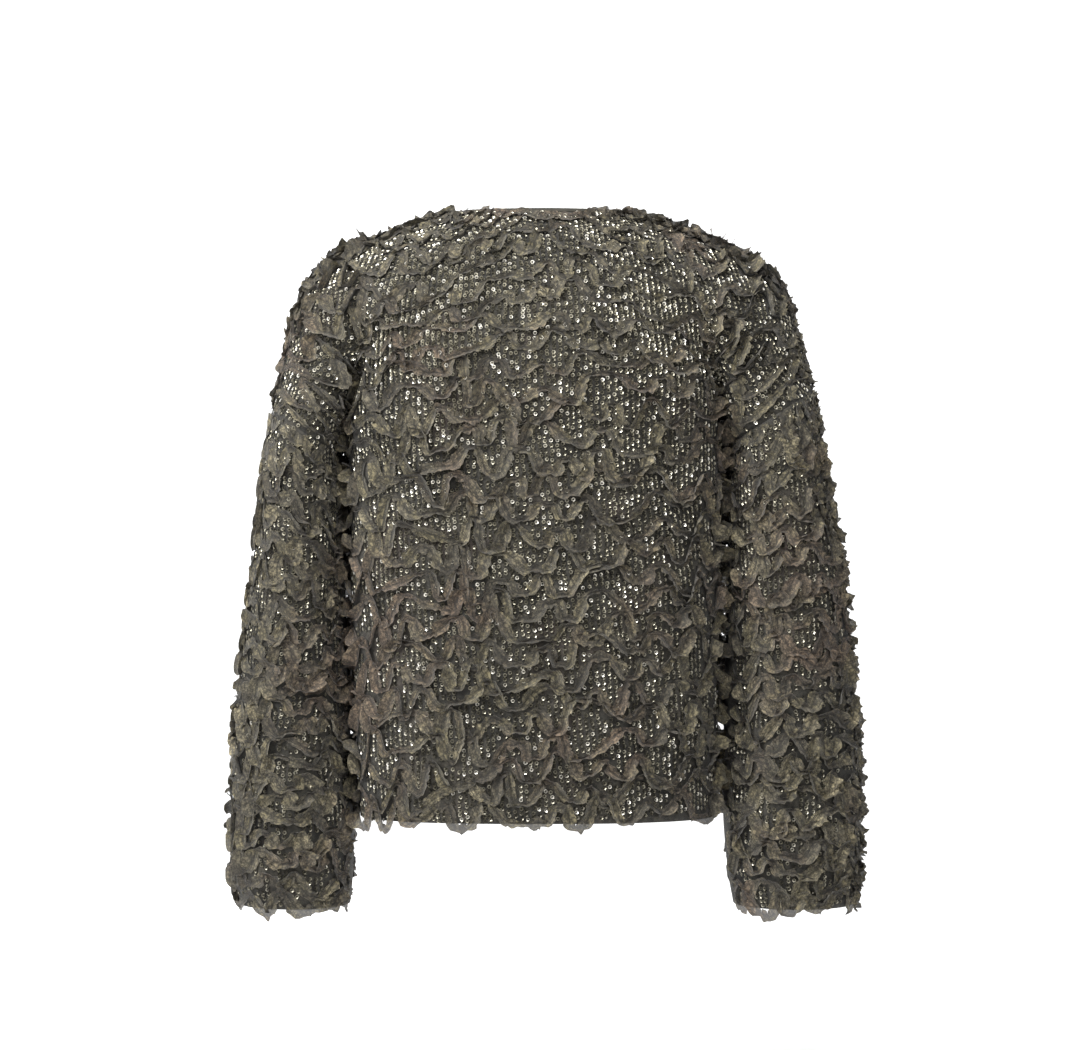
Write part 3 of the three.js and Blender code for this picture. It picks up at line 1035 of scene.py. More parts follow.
@dataclass(frozen=True)
class TapeFinish:
    """Crinkled chiffon tape with raw edges, in olive, grey and brownish tones, with painted light and shade
    in its creases.

    Attributes:
        name: The material's name.
        grey: The main tone, as in a picture, like the tones after it.
        olive: The greener parts.
        brown: The browner patches.
        dark: The darkest leaves.
        pale: The palest leaves.
        edge: The raw edges.
        blotches: Changes of tone to a metre.
        patches: Browner patches to a metre.
        creases: Creases to a metre along the tape, and across half its width.
        painted_shadow_lines: Dark lines of painted shadow to a metre, as if between fine creases.
        weave: Grains of the weave to a metre.
        thinnest: How far the thinnest parts cover what is behind them.
        thickest: The same for the thickest parts.
        roughness: Of the surface.
        sheen: Share of a soft sheen.
        relief: Depth of the creases' relief in metres.
    """

    name: str = "ruffled_tape"
    grey: Colour = (87, 81, 66)
    olive: Colour = (104, 96, 71)
    brown: Colour = (100, 84, 68)
    dark: Colour = (66, 59, 46)
    pale: Colour = (126, 117, 92)
    edge: Colour = (110, 104, 85)
    blotches: float = 45
    patches: float = 9
    creases: tuple[float, float] = (150.0, 4.0)
    painted_shadow_lines: float = 230
    weave: float = 900
    thinnest: float = 0.9
    thickest: float = 1.0
    roughness: float = 0.8
    sheen: float = 0.12
    relief: float = 0.0016

    def tint(self, nodes: Nodes, place: Socket, rim: Socket, crease: Socket) -> Socket:
        """Mixes the tape's tones.

        Args:
            nodes: The material's nodes.
            place: Places on the object.
            rim: 0 along the middle of the tape and 1 at its edges.
            crease: The creases, from 0 to 1.

        Returns:
            The colour before the painted light and shade are laid on.
        """
        blotch = nodes.noise(place, self.blotches, 3, 0.6)
        tone = nodes.maths("ADD", nodes.product(blotch, 0.6), nodes.product(nodes.kept("tone"), 0.55))
        tones = self.dark, self.grey, self.olive, self.grey, self.pale
        stops = list(zip((0.3, 0.45, 0.62, 0.72, 0.85), tones))
        brownish = nodes.ranged(nodes.noise(place, self.patches, 3, 0.6), (0.5, 0.64), (0.0, 0.85))
        base = nodes.blend(brownish, nodes.ramp(tone, stops), srgb(*self.brown))
        uneven_rim = nodes.maths("ADD", rim, nodes.product(crease, 0.25))
        return nodes.blend(nodes.ranged(uneven_rim, (1.02, 1.14), (0.0, 0.2)), base, srgb(*self.edge))

    def cover(self, nodes: Nodes, rim: Socket, crease: Socket) -> Socket:
        """Makes the tape a little thinner where it lies flat and isn't creased.

        Args:
            nodes: The material's nodes.
            rim: 0 along the middle of the tape and 1 at its edges.
            crease: The creases, from 0 to 1.

        Returns:
            How far the tape covers what is behind it.
        """
        fully_raised = 250.0  # times the lift in metres, which is then about 1
        raised = nodes.product(nodes.kept("lift"), fully_raised, rim, rim)
        veil = nodes.maths("ADD", nodes.product(raised, 0.35), nodes.product(crease, 0.35))
        return nodes.ranged(veil, (0.05, 0.6), (self.thinnest, self.thickest))

    def material(self) -> bpy.types.Material:
        """Makes the finish.

        Returns:
            The material.
        """
        material, nodes, shader = new_material(self.name)
        place = nodes.place()
        parts = nodes.add("ShaderNodeSeparateXYZ", {0: nodes.flat()}).outputs
        scaled = {k: nodes.product(parts[k], size) for k, size in enumerate(self.creases)}
        crease = nodes.noise(nodes.add("ShaderNodeCombineXYZ", scaled).outputs[0], 1.0, 4, 0.65)
        rim = nodes.maths("ABSOLUTE", parts[1])
        nodes.tree.links.new(self.cover(nodes, rim, crease), shader.inputs["Alpha"])
        # Painted light and shade: the colour is darkened in the creases and lightened between them.
        shade = nodes.ranged(crease, (0.34, 0.66), (0.32, 1.38))
        # Painted shadow: thin dark lines, as if between fine creases of the chiffon.
        wrinkle = nodes.maths("SUBTRACT", nodes.noise(place, self.painted_shadow_lines, 3, 0.6), 0.5)
        line = nodes.ranged(nodes.maths("ABSOLUTE", wrinkle), (0.0, 0.13), (0.2, 1.15))
        # Painted shade along the sewn middle of the tape, where it lies lowest between its raised edges.
        painted_middle_shade = nodes.ranged(rim, (0.04, 0.34), (0.5, 1.04))
        colour = nodes.scaled(self.tint(nodes, place, rim, crease), shade)
        nodes.tree.links.new(nodes.scaled(colour, nodes.product(line, painted_middle_shade)), shader.inputs["Base Color"])
        shader.inputs["Roughness"].default_value = self.roughness
        shader.inputs["Sheen Weight"].default_value = self.sheen
        grain = nodes.product(nodes.noise(place, self.weave, 2, 0.7), 0.25)
        join_bump(nodes, shader, nodes.maths("ADD", crease, grain), self.relief)
        return material


@dataclass(frozen=True)
class SequinFinish:
    """Cup sequins: glossy olive grey with a dull metal shine, each a little lighter or darker at random, with
    painted highlights, light and shade.

    Attributes:
        name: The material's name.
        dark: The darkest sequins, as in a picture, like the tones after it.
        middle: The middle ones.
        light: The light ones.
        painted_flash: The few painted as if they caught the light, a painted highlight.
        clouds: Changes of tone to a metre.
        heights: Heights in metres between which painted light makes the sequins lighter going up.
        painted_light_by_height: Painted light at those two heights: darker low down, lighter high up.
        roughness: Of the surface.
        metal: Share of a metal shine.
    """

    name: str = "cup_sequin"
    dark: Colour = (66, 63, 54)
    middle: Colour = (128, 123, 106)
    light: Colour = (186, 181, 163)
    painted_flash: Colour = (238, 234, 222)
    clouds: float = 700
    heights: tuple[float, float] = (-0.42, -0.13)
    painted_light_by_height: tuple[float, float] = (0.7, 1.05)
    roughness: float = 0.3
    metal: float = 0.7

    def material(self) -> bpy.types.Material:
        """Makes the finish.

        Returns:
            The material.
        """
        material, nodes, shader = new_material(self.name)
        place = nodes.place()
        cloud = nodes.product(nodes.noise(place, self.clouds, 2, 0.5), 0.15)
        # The last stop is a painted highlight on the few sequins with the highest draws.
        stops = [(0.05, self.dark), (0.6, self.middle), (0.95, self.light), (1.06, self.painted_flash)]
        base = nodes.ramp(nodes.maths("ADD", nodes.kept("tone_and_painted_glint"), cloud), stops)
        # Painted light and shade on each cup: lighter at the rim, darker towards the hole.
        painted_cup_shading = nodes.ranged(nodes.kept("rim"), (0.1, 1.0), (0.25, 1.35))
        # Painted light: the sequins are darker low down and lighter higher up.
        height = nodes.add("ShaderNodeSeparateXYZ", {0: place}).outputs[2]
        shade = nodes.product(painted_cup_shading, nodes.ranged(height, self.heights, self.painted_light_by_height))
        nodes.tree.links.new(nodes.scaled(base, shade), shader.inputs["Base Color"])
        shader.inputs["Roughness"].default_value = self.roughness
        shader.inputs["Metallic"].default_value = self.metal
        return material


@dataclass(frozen=True)
class BindingFinish:
    """The mesh folded over twice, so darker and closer.

    Attributes:
        name: The material's name.
        dark: The darkest parts, as in a picture.
        light: The lightest parts.
        blotches: Changes of tone to a metre.
        grain: Grains to a metre.
        roughness: Of the surface.
        relief: Depth of the grain in metres.
    """

    name: str = "folded_binding"
    dark: Colour = (36, 34, 28)
    light: Colour = (58, 55, 47)
    blotches: float = 60
    grain: float = 700
    roughness: float = 0.9
    relief: float = 0.0006

    def material(self) -> bpy.types.Material:
        """Makes the finish.

        Returns:
            The material.
        """
        material, nodes, shader = new_material(self.name)
        place = nodes.place()
        base = nodes.ramp(nodes.noise(place, self.blotches, 4, 0.6), [(0.35, self.dark), (0.7, self.light)])
        nodes.tree.links.new(base, shader.inputs["Base Color"])
        shader.inputs["Roughness"].default_value = self.roughness
        join_bump(nodes, shader, nodes.noise(place, self.grain, 3, 0.7), self.relief)
        return material


def new_tree(
    name: str, inputs: Sequence[tuple[str, str, object]]
) -> tuple[bpy.types.NodeTree, bpy.types.Node, bpy.types.Node]:
    """Starts a geometry tree with named inputs.

    Args:
        name: The tree's name.
        inputs: Name, socket type and value of each input.

    Returns:
        The tree, its input node and its output node.
    """
    tree = bpy.data.node_groups.new(name, "GeometryNodeTree")
    tree.interface.new_socket("Geometry", in_out="INPUT", socket_type="NodeSocketGeometry")
    for label, kind, value in inputs:
        socket = tree.interface.new_socket(label, in_out="INPUT", socket_type=kind)
        if kind != "NodeSocketMaterial":
            socket.default_value = value
    tree.interface.new_socket("Geometry", in_out="OUTPUT", socket_type="NodeSocketGeometry")
    return tree, tree.nodes.new("NodeGroupInput"), tree.nodes.new("NodeGroupOutput")


def grown(thing: bpy.types.Object, tree: bpy.types.NodeTree, values: dict[str, object]) -> bpy.types.Object:
    """Runs a geometry tree on an object and keeps the result as its plain mesh.

    Args:
        thing: The object that the tree starts from.
        tree: The geometry tree.
        values: The modifier's inputs, by name.

    Returns:
        The same object, with the finished mesh and no modifier.
    """
    modifier = thing.modifiers.new(tree.name, "NODES")
    modifier.node_group = tree
    for item in tree.interface.items_tree:
        if item.item_type == "SOCKET" and item.in_out == "INPUT" and item.name in values:
            modifier[item.identifier] = values[item.name]
    bpy.context.view_layer.update()
    graph = bpy.context.evaluated_depsgraph_get()
    mesh = bpy.data.meshes.new_from_object(thing.evaluated_get(graph))
    thing.modifiers.remove(modifier)
    old = thing.data
    thing.data = mesh
    bpy.data.meshes.remove(old)
    mesh.name = thing.name
    return thing


def dress(nodes: Nodes, start: bpy.types.Node, end: bpy.types.Node, geometry: Socket) -> None:
    """Ends a geometry tree: makes instances real and gives them the material.

    Args:
        nodes: The tree's nodes.
        start: Its input node, with an input named Material.
        end: Its output node.
        geometry: What the tree has made.
    """
    real = nodes.add("GeometryNodeRealizeInstances", {0: geometry}).outputs[0]
    clad = nodes.add("GeometryNodeSetMaterial", {"Geometry": real, "Material": start.outputs["Material"]})
    nodes.tree.links.new(clad.outputs[0], end.inputs[0])


@dataclass(frozen=True)
class RuffleTree:
    """Geometry nodes that lift the edges of a strip of tape off the cloth and crinkle them.

    Attributes:
        rest: Height of the sewn middle over the cloth in metres, like the sizes after it.
        crinkle: Height of the crinkles.
        crinkle_size: Size of the crinkles across.
        lowest: The least height over the cloth.
        freeing: Power by which the tape comes free from its middle to its edges.
        sideways: How far crinkles also go sideways, as a share of their height.
    """

    rest: float = 0.0009
    crinkle: float = 0.003
    crinkle_size: float = 0.0046
    lowest: float = 0.0003
    freeing: float = 1.6
    sideways: float = 2.8

    def tree(self) -> bpy.types.NodeTree:
        """Builds the nodes.

        Returns:
            The tree.
        """
        tree, start, end = new_tree(
            "ruffled_tape",
            [
                ("Rest height", "NodeSocketFloat", self.rest),
                ("Crinkle", "NodeSocketFloat", self.crinkle),
                ("Crinkle size", "NodeSocketFloat", self.crinkle_size),
                ("Material", "NodeSocketMaterial", None),
            ],
        )
        nodes = Nodes(tree)

        def read(name: str, kind: str) -> Socket:
            """What is kept at the vertices under a name."""
            return nodes.add("GeometryNodeInputNamedAttribute", {"Name": name}, data_type=kind).outputs[0]

        crinkle = start.outputs["Crinkle"]
        position = nodes.add("GeometryNodeInputPosition").outputs[0]
        where = nodes.scaled(position, nodes.maths("DIVIDE", 1.0, start.outputs["Crinkle size"]))
        wave = nodes.add("ShaderNodeTexNoise", {"Vector": where, "Scale": 1.0, "Detail": 2.5}).outputs
        free = nodes.maths("POWER", nodes.maths("ABSOLUTE", read("edge", "FLOAT")), self.freeing)
        uneven = nodes.product(nodes.maths("SUBTRACT", wave["Fac"], 0.42), crinkle)
        crinkled = nodes.product(uneven, nodes.maths("ADD", nodes.product(free, 2.4), 0.4))
        height = nodes.maths("ADD", nodes.product(read("lift", "FLOAT"), free), crinkled)
        height = nodes.maths("ADD", height, start.outputs["Rest height"])
        shift = nodes.vector("SUBTRACT", wave["Color"], (0.5, 0.5, 0.5))
        shift = nodes.scaled(shift, nodes.product(crinkle, self.sideways, free))
        rise = nodes.scaled(read("out", "FLOAT_VECTOR"), nodes.maths("MAXIMUM", height, self.lowest))
        moves = {"Geometry": start.outputs["Geometry"], "Offset": nodes.vector("ADD", rise, shift)}
        dress(nodes, start, end, nodes.add("GeometryNodeSetPosition", moves).outputs[0])
        return tree


@dataclass(frozen=True)
class SequinTree:
    """Geometry nodes that sew a cup sequin on every point, facing out and a little tilted.

    Attributes:
        diameter: Width of a sequin in metres, like the sizes after it.
        hole: Width of its hole.
        cup: Depth of its cup.
        tilt: How far it may lean each way, in radians.
        seed: Start of the random draws.
        sides: Sides of its outline.
    """

    diameter: float = 0.0036
    hole: float = 0.0013
    cup: float = 0.0009
    tilt: float = 0.22
    seed: int = 11
    sides: int = 6

    def cup_mesh(self, nodes: Nodes, start: bpy.types.Node) -> Socket:
        """Makes one sequin, with its height from hole to rim kept on it.

        Args:
            nodes: The tree's nodes.
            start: Its input node.

        Returns:
            The sequin's mesh.
        """
        depth = start.outputs["Cup depth"]
        sizes = {
            "Vertices": self.sides,
            "Radius Top": nodes.product(start.outputs["Diameter"], 0.5),
            "Radius Bottom": nodes.product(start.outputs["Hole"], 0.5),
            "Depth": depth,
        }
        cone = nodes.add("GeometryNodeMeshCone", sizes, fill_type="NONE")
        position = nodes.add("GeometryNodeInputPosition").outputs[0]
        height = nodes.add("ShaderNodeSeparateXYZ", {0: position}).outputs[2]
        # The finish reads this share to paint the rim lighter and the hole darker.
        keeps = {"Geometry": cone.outputs[0], "Name": "rim", "Value": nodes.maths("DIVIDE", height, depth)}
        rimmed = nodes.add("GeometryNodeStoreNamedAttribute", keeps, data_type="FLOAT", domain="POINT")
        return nodes.add("GeometryNodeFlipFaces", {0: rimmed.outputs[0]}).outputs[0]

    def turn(self, nodes: Nodes, start: bpy.types.Node) -> Socket:
        """Turns each sequin out of the cloth, round by chance and a little tilted.

        Args:
            nodes: The tree's nodes.
            start: Its input node.

        Returns:
            The rotation.
        """
        named = {"Name": "out"}
        out = nodes.add("GeometryNodeInputNamedAttribute", named, data_type="FLOAT_VECTOR").outputs[0]
        facing = nodes.add("FunctionNodeAlignRotationToVector", {"Vector": out}, axis="Z").outputs[0]
        tilt = start.outputs["Tilt"]
        less = nodes.product(tilt, -1.0)
        low = nodes.add("ShaderNodeCombineXYZ", {0: less, 1: less, 2: -3.0}).outputs[0]
        high = nodes.add("ShaderNodeCombineXYZ", {0: tilt, 1: tilt, 2: 3.0}).outputs[0]
        limits = {0: low, 1: high, "Seed": start.outputs["Seed"]}
        chance = nodes.add("FunctionNodeRandomValue", limits, data_type="FLOAT_VECTOR").outputs[0]
        angles = nodes.add("FunctionNodeEulerToRotation", {0: chance}).outputs[0]
        turns = {0: facing, 1: angles}
        return nodes.add("FunctionNodeRotateRotation", turns, rotation_space="LOCAL").outputs[0]

    def tree(self) -> bpy.types.NodeTree:
        """Builds the nodes.

        Returns:
            The tree.
        """
        tree, start, end = new_tree(
            "cup_sequins",
            [
                ("Diameter", "NodeSocketFloat", self.diameter),
                ("Hole", "NodeSocketFloat", self.hole),
                ("Cup depth", "NodeSocketFloat", self.cup),
                ("Tilt", "NodeSocketFloat", self.tilt),
                ("Seed", "NodeSocketInt", self.seed),
                ("Brightest", "NodeSocketFloat", 1.0),
                ("Material", "NodeSocketMaterial", None),
            ],
        )
        nodes = Nodes(tree)
        laid = {
            "Points": start.outputs["Geometry"],
            "Instance": self.cup_mesh(nodes, start),
            "Rotation": self.turn(nodes, start),
        }
        placed = nodes.add("GeometryNodeInstanceOnPoints", laid).outputs[0]
        # Each sequin draws a tone at random; the finish paints a highlight on the highest draws, so Brightest
        # also sets how many get one.
        other_seed = nodes.maths("ADD", start.outputs["Seed"], 5.0)
        limits = {2: 0.0, 3: start.outputs["Brightest"], "Seed": other_seed}
        tone_and_painted_glint = nodes.add("FunctionNodeRandomValue", limits, data_type="FLOAT").outputs[1]
        keeps = {"Geometry": placed, "Name": "tone_and_painted_glint", "Value": tone_and_painted_glint}
        marked = nodes.add("GeometryNodeStoreNamedAttribute", keeps, data_type="FLOAT", domain="INSTANCE")
        dress(nodes, start, end, marked.outputs[0])
        return tree


@dataclass(frozen=True)
class Wardrobe:
    """The finishes and the geometry trees that all pieces share."""

    mesh: bpy.types.Material
    tape: bpy.types.Material
    sequin: bpy.types.Material
    binding: bpy.types.Material
    ruffles: bpy.types.NodeTree
    sequins: bpy.types.NodeTree

    @classmethod
    def made(cls) -> "Wardrobe":
        """Makes every finish and tree once.

        Returns:
            All of them.
        """
        return cls(
            MeshFinish().material(),
            TapeFinish().material(),
            SequinFinish().material(),
            BindingFinish().material(),
            RuffleTree().tree(),
            SequinTree().tree(),
        )


def alike(value: float) -> Spread:
    """Makes a size that is the same all over a panel.

    Args:
        value: The size.

    Returns:
        What gives it at flat places.
    """
    def everywhere(a: Array, b: Array) -> Array:
        """The size at flat places."""
        return np.full(np.broadcast(a, b).shape, value)

    return everywhere


@dataclass
class TapeRows:
    """Rows of tape on a flat panel: where they run, how they wave and how wide they are.

    Attributes:
        seed: Start of the random draws.
        pitch: Distance from row to row, in millimetres, as all lengths here.
        period: Length of a wave along the row.
        swing: Half the height of a wave.
        width: Width of the tape.
        lift: How far a free edge may stand up.
        step: Distance between cross-sections.
        first: Level of the first row.
        ribs: Faces across the tape.
        neck: Share of the width where the tape is gathered least wide.
        stray: How far a leaf may be sewn off the row's line.
        spin: How far a leaf may be turned, as a length at its ends.
        fade: Length in which the tape thins out at both ends of a row.
        toning: How far the leaves differ in tone.
        single: Whether there is one row only.
        hem: Least share of the width at the crests of the first row, which edges the cloth.
        drift: How far the waves run early and late along a row, in radians.
        quiver: The same over shorter stretches.
        swell: The waves' usual height as a share of swing, and how far it comes and goes.
        harmonics: How pointed, and how full, each wave is.
        wander: How far a row leaves its level, and how far the first row does.
        sewn: Half the width that hides sequins, by place.
        bare: Where there is no tape, by place.
        crowded: Share of the lift, by place.
        flatter: Share of the swing, by place.
        starts: The rows' levels, once laid.
        phases: The phases of each row's waves, its drift and its other changes, once laid.
    """

    seed: int
    pitch: float
    period: float
    swing: float
    width: float = 12.0
    lift: float = 5.5
    step: float = 2.0
    first: float = 6.0
    ribs: int = 5
    neck: float = 0.17
    stray: float = 5.0
    spin: float = 28.0
    fade: float = 0.0
    toning: float = 1.0
    single: bool = False
    hem: float = 0.0
    drift: float = 1.5
    quiver: float = 0.75
    swell: tuple[float, float] = (0.95, 0.42)
    harmonics: tuple[float, float] = (0.06, -0.13)
    wander: tuple[float, float] = (4.6, 2.0)
    sewn: Spread = alike(2.2)
    bare: Spread = alike(False)
    crowded: Spread = alike(1.0)
    flatter: Spread = alike(1.0)
    starts: list[float] = field(default_factory=list)
    phases: list[tuple[float, float, float]] = field(default_factory=list)

    def lay(self, chart: Chart) -> None:
        """Chooses each row's level and the phase of its waves.

        Args:
            chart: The panel.
        """
        rng = np.random.default_rng(self.seed)
        level, phase = self.first, rng.uniform(0, 2 * math.pi)
        while level < chart.up[-1] and not (self.single and self.starts):
            self.starts.append(level)
            self.phases.append((phase, rng.uniform(0, 2 * math.pi), rng.uniform(0, 2 * math.pi)))
            level += self.pitch * rng.uniform(0.88, 1.12)
            phase += rng.normal(0, 1.2)

    def height(self, row: int, a: Array, span: float) -> tuple[Array, Array]:
        """Finds where a row runs.

        Args:
            row: The row's number.
            a: Millimetres across.
            span: Length round a closed panel, or 0.

        Returns:
            The height of its middle at each place, and the phase of the wave.
        """
        phase, drift, other = self.phases[row]
        waves = round(span / self.period) / span if span else 1 / self.period
        slow = round(waves * span / 5) / span if span else waves / 4.7
        quick = round(waves * span / 2) / span if span else waves / 1.9
        angle = 2 * math.pi * waves * a + phase + self.drift * np.sin(2 * math.pi * slow * a + drift)
        angle = angle + self.quiver * np.sin(2 * math.pi * quick * a + other)
        usual, change = self.swell
        swing = self.swing * (usual + change * np.sin(2 * math.pi * slow * 2 * a + other))
        pointed, full = self.harmonics
        shape = np.cos(angle) + pointed * np.cos(2 * angle) + full * np.cos(3 * angle)
        wander = self.wander[0] if row else self.wander[1]
        level = self.starts[row] + wander * np.sin(2 * math.pi * slow * a + other)
        return level + swing * self.flatter(a, np.full(np.shape(a), self.starts[row])) * shape, angle

    def covered(self, a: Array, b: Array, span: float) -> Array:
        """Finds where sewn tape hides the cloth.

        Args:
            a: Millimetres across.
            b: Millimetres up.
            span: Length round a closed panel, or 0.

        Returns:
            Whether it is hidden, at each place.
        """
        beside, far_above = 0.5, 40
        hidden, sewn = np.zeros(a.shape, bool), self.sewn(a, b)
        for row in range(len(self.starts)):
            if self.starts[row] - b.max() > far_above:
                continue
            middle, _ = self.height(row, a, span)
            ahead, _ = self.height(row, a + beside, span)
            slope = (ahead - middle) / beside
            hidden |= np.abs(b - middle) / np.hypot(1, slope) < sewn
        return hidden

    def line(self, row: int, chart: Chart, span: float) -> tuple[Array, Array, Array, Array]:
        """Measures a row's middle line at even steps.

        Args:
            row: The row's number.
            chart: The panel.
            span: Length round a closed panel, or 0.

        Returns:
            Lengths along the line, millimetres across and up, and the phase of the wave.
        """
        a = np.arange(chart.across[0], chart.across[-1] + 0.01, 1.0)
        b, angle = self.height(row, a, span)
        length = np.concatenate([[0], np.cumsum(np.hypot(np.diff(a), np.diff(b)))])
        stations = np.linspace(0, length[-1], int(length[-1] / self.step) + 1)
        a, angle = np.interp(stations, length, a), np.interp(stations, length, angle)
        return stations, a, self.height(row, a, span)[0], angle

    def strip(
        self, row: int, chart: Chart, span: float, rng: np.random.Generator
    ) -> tuple[Array, Array, dict[str, Array], Array]:
        """Makes one flat strip: a leaf between two crests of the wave, and a round lobe on each crest.

        Args:
            row: The row's number.
            chart: The panel.
            span: Length round a closed panel, or 0.
            rng: The random draws.

        Returns:
            Vertices, faces, what is kept at the vertices, and flat places for the pattern.
        """
        v = np.linspace(-1, 1, self.ribs + 1)
        stations, a, b, angle = self.line(row, chart, span)
        ta, tb = np.gradient(a), np.gradient(b)
        norm = np.hypot(ta, tb)
        ta, tb = ta / norm, tb / norm
        half_waves = (angle - 2 * math.pi * math.floor(angle.min() / 2 / math.pi)) / math.pi
        draws = rng.uniform(0, 1, (6, int(half_waves.max()) + 3))
        wide, high, side, aside, tone, spin = draws[:, np.floor(half_waves).astype(int)]
        full, stand = draws[:2, np.round(half_waves).astype(int)]
        along = half_waves % 1 - 0.5
        leaf = np.clip(1 - (along / 0.36) ** 2, 0, 1) ** 0.95
        lobe = np.clip(1 - ((0.5 - np.abs(along)) / 0.2) ** 2, 0, 1) ** 0.6

        leaf_share, lobe_share = leaf * (0.55 + 0.6 * wide), lobe * (0.25 + 0.6 * full**2)
        share = self.neck + (1 - self.neck) * np.maximum(leaf_share, lobe_share)
        ends = np.ones(len(a))
        if self.fade:
            ends = smoothstep(a - a[0], 0, self.fade) * smoothstep(a[-1] - a, 0, self.fade)
        if not row:
            share = np.maximum(share, self.hem * lobe)
        half = self.width / 2 * (share * ends)
        push = leaf * ((aside - 0.5) * self.stray + (spin - 0.5) * self.spin * along)
        off = v * half[:, None] + push[:, None]
        places, ways, kept = chart.at(a[:, None] - tb[:, None] * off, b[:, None] + ta[:, None] * off)
        kept &= kept[:, len(v) // 2][:, None] & ~self.bare(a, b)[:, None]

        raised = self.lift * ends * self.crowded(a, b) * (0.35 + 0.65 * self.flatter(a, b))
        leaf_lift, lobe_lift = leaf * (0.45 + 0.8 * high), lobe * (0.15 + 0.8 * stand**2)
        low_lift, opens_up, bend = 0.12 * leaf_lift, side > 0.64, 0.3 * np.cos(angle)
        upper = raised * (np.where(opens_up, leaf_lift, low_lift) + lobe_lift * (0.75 + bend))
        lower = raised * (np.where(opens_up, low_lift, leaf_lift) + lobe_lift * (0.75 - bend))
        lift = np.where(v[None] > 0, upper[:, None], lower[:, None])
        own_tone = self.toning * ((0.1 + 0.9 * tone) * leaf + 0.3 * full**2 * lobe)

        cells = grid_cells(len(a), len(v))
        edge = np.broadcast_to(v, off.shape).ravel()
        attributes = {
            "out": ways.reshape(-1, 3),
            "lift": lift.ravel() * MM,
            "edge": edge,
            "tone": np.broadcast_to(own_tone[:, None], off.shape).ravel(),
        }
        flat = np.stack([np.broadcast_to(stations[:, None] * MM, off.shape).ravel(), edge], -1)
        return places.reshape(-1, 3), cells[kept.ravel()[cells].all(1)], attributes, flat

    def strips(self, chart: Chart) -> tuple[Array, Array, dict[str, Array], Array]:
        """Makes the flat strips on the cloth, before their edges are lifted.

        Args:
            chart: The panel.

        Returns:
            Vertices, faces, what is kept at the vertices, and flat places for the pattern.
        """
        rng = np.random.default_rng(self.seed + 1)
        span = chart.across[-1] - chart.across[0] if chart.closed else 0
        made = [self.strip(row, chart, span, rng) for row in range(len(self.starts))]
        vertices, faces, attributes, flats = zip(*made)
        first = np.cumsum([0] + [len(part) for part in vertices[:-1]])
        return (
            np.concatenate(vertices),
            np.concatenate([part + start for part, start in zip(faces, first)]),
            {key: np.concatenate([part[key] for part in attributes]) for key in attributes[0]},
            np.concatenate(flats),
        )


def without_loose(
    vertices: Array, faces: Array, attributes: dict[str, Array], uv: Array
) -> tuple[Array, Array, dict[str, Array], Array]:
    """Leaves out the vertices that no face uses.

    Args:
        vertices: Places.
        faces: Corners of each face.
        attributes: What is kept at the vertices.
        uv: Flat places.

    Returns:
        The same, with the faces renumbered.
    """
    used = np.unique(faces)
    number = np.full(len(vertices), -1)
    number[used] = np.arange(len(used))
    kept = {key: values[used] for key, values in attributes.items()}
    return vertices[used], number[faces], kept, uv[used]


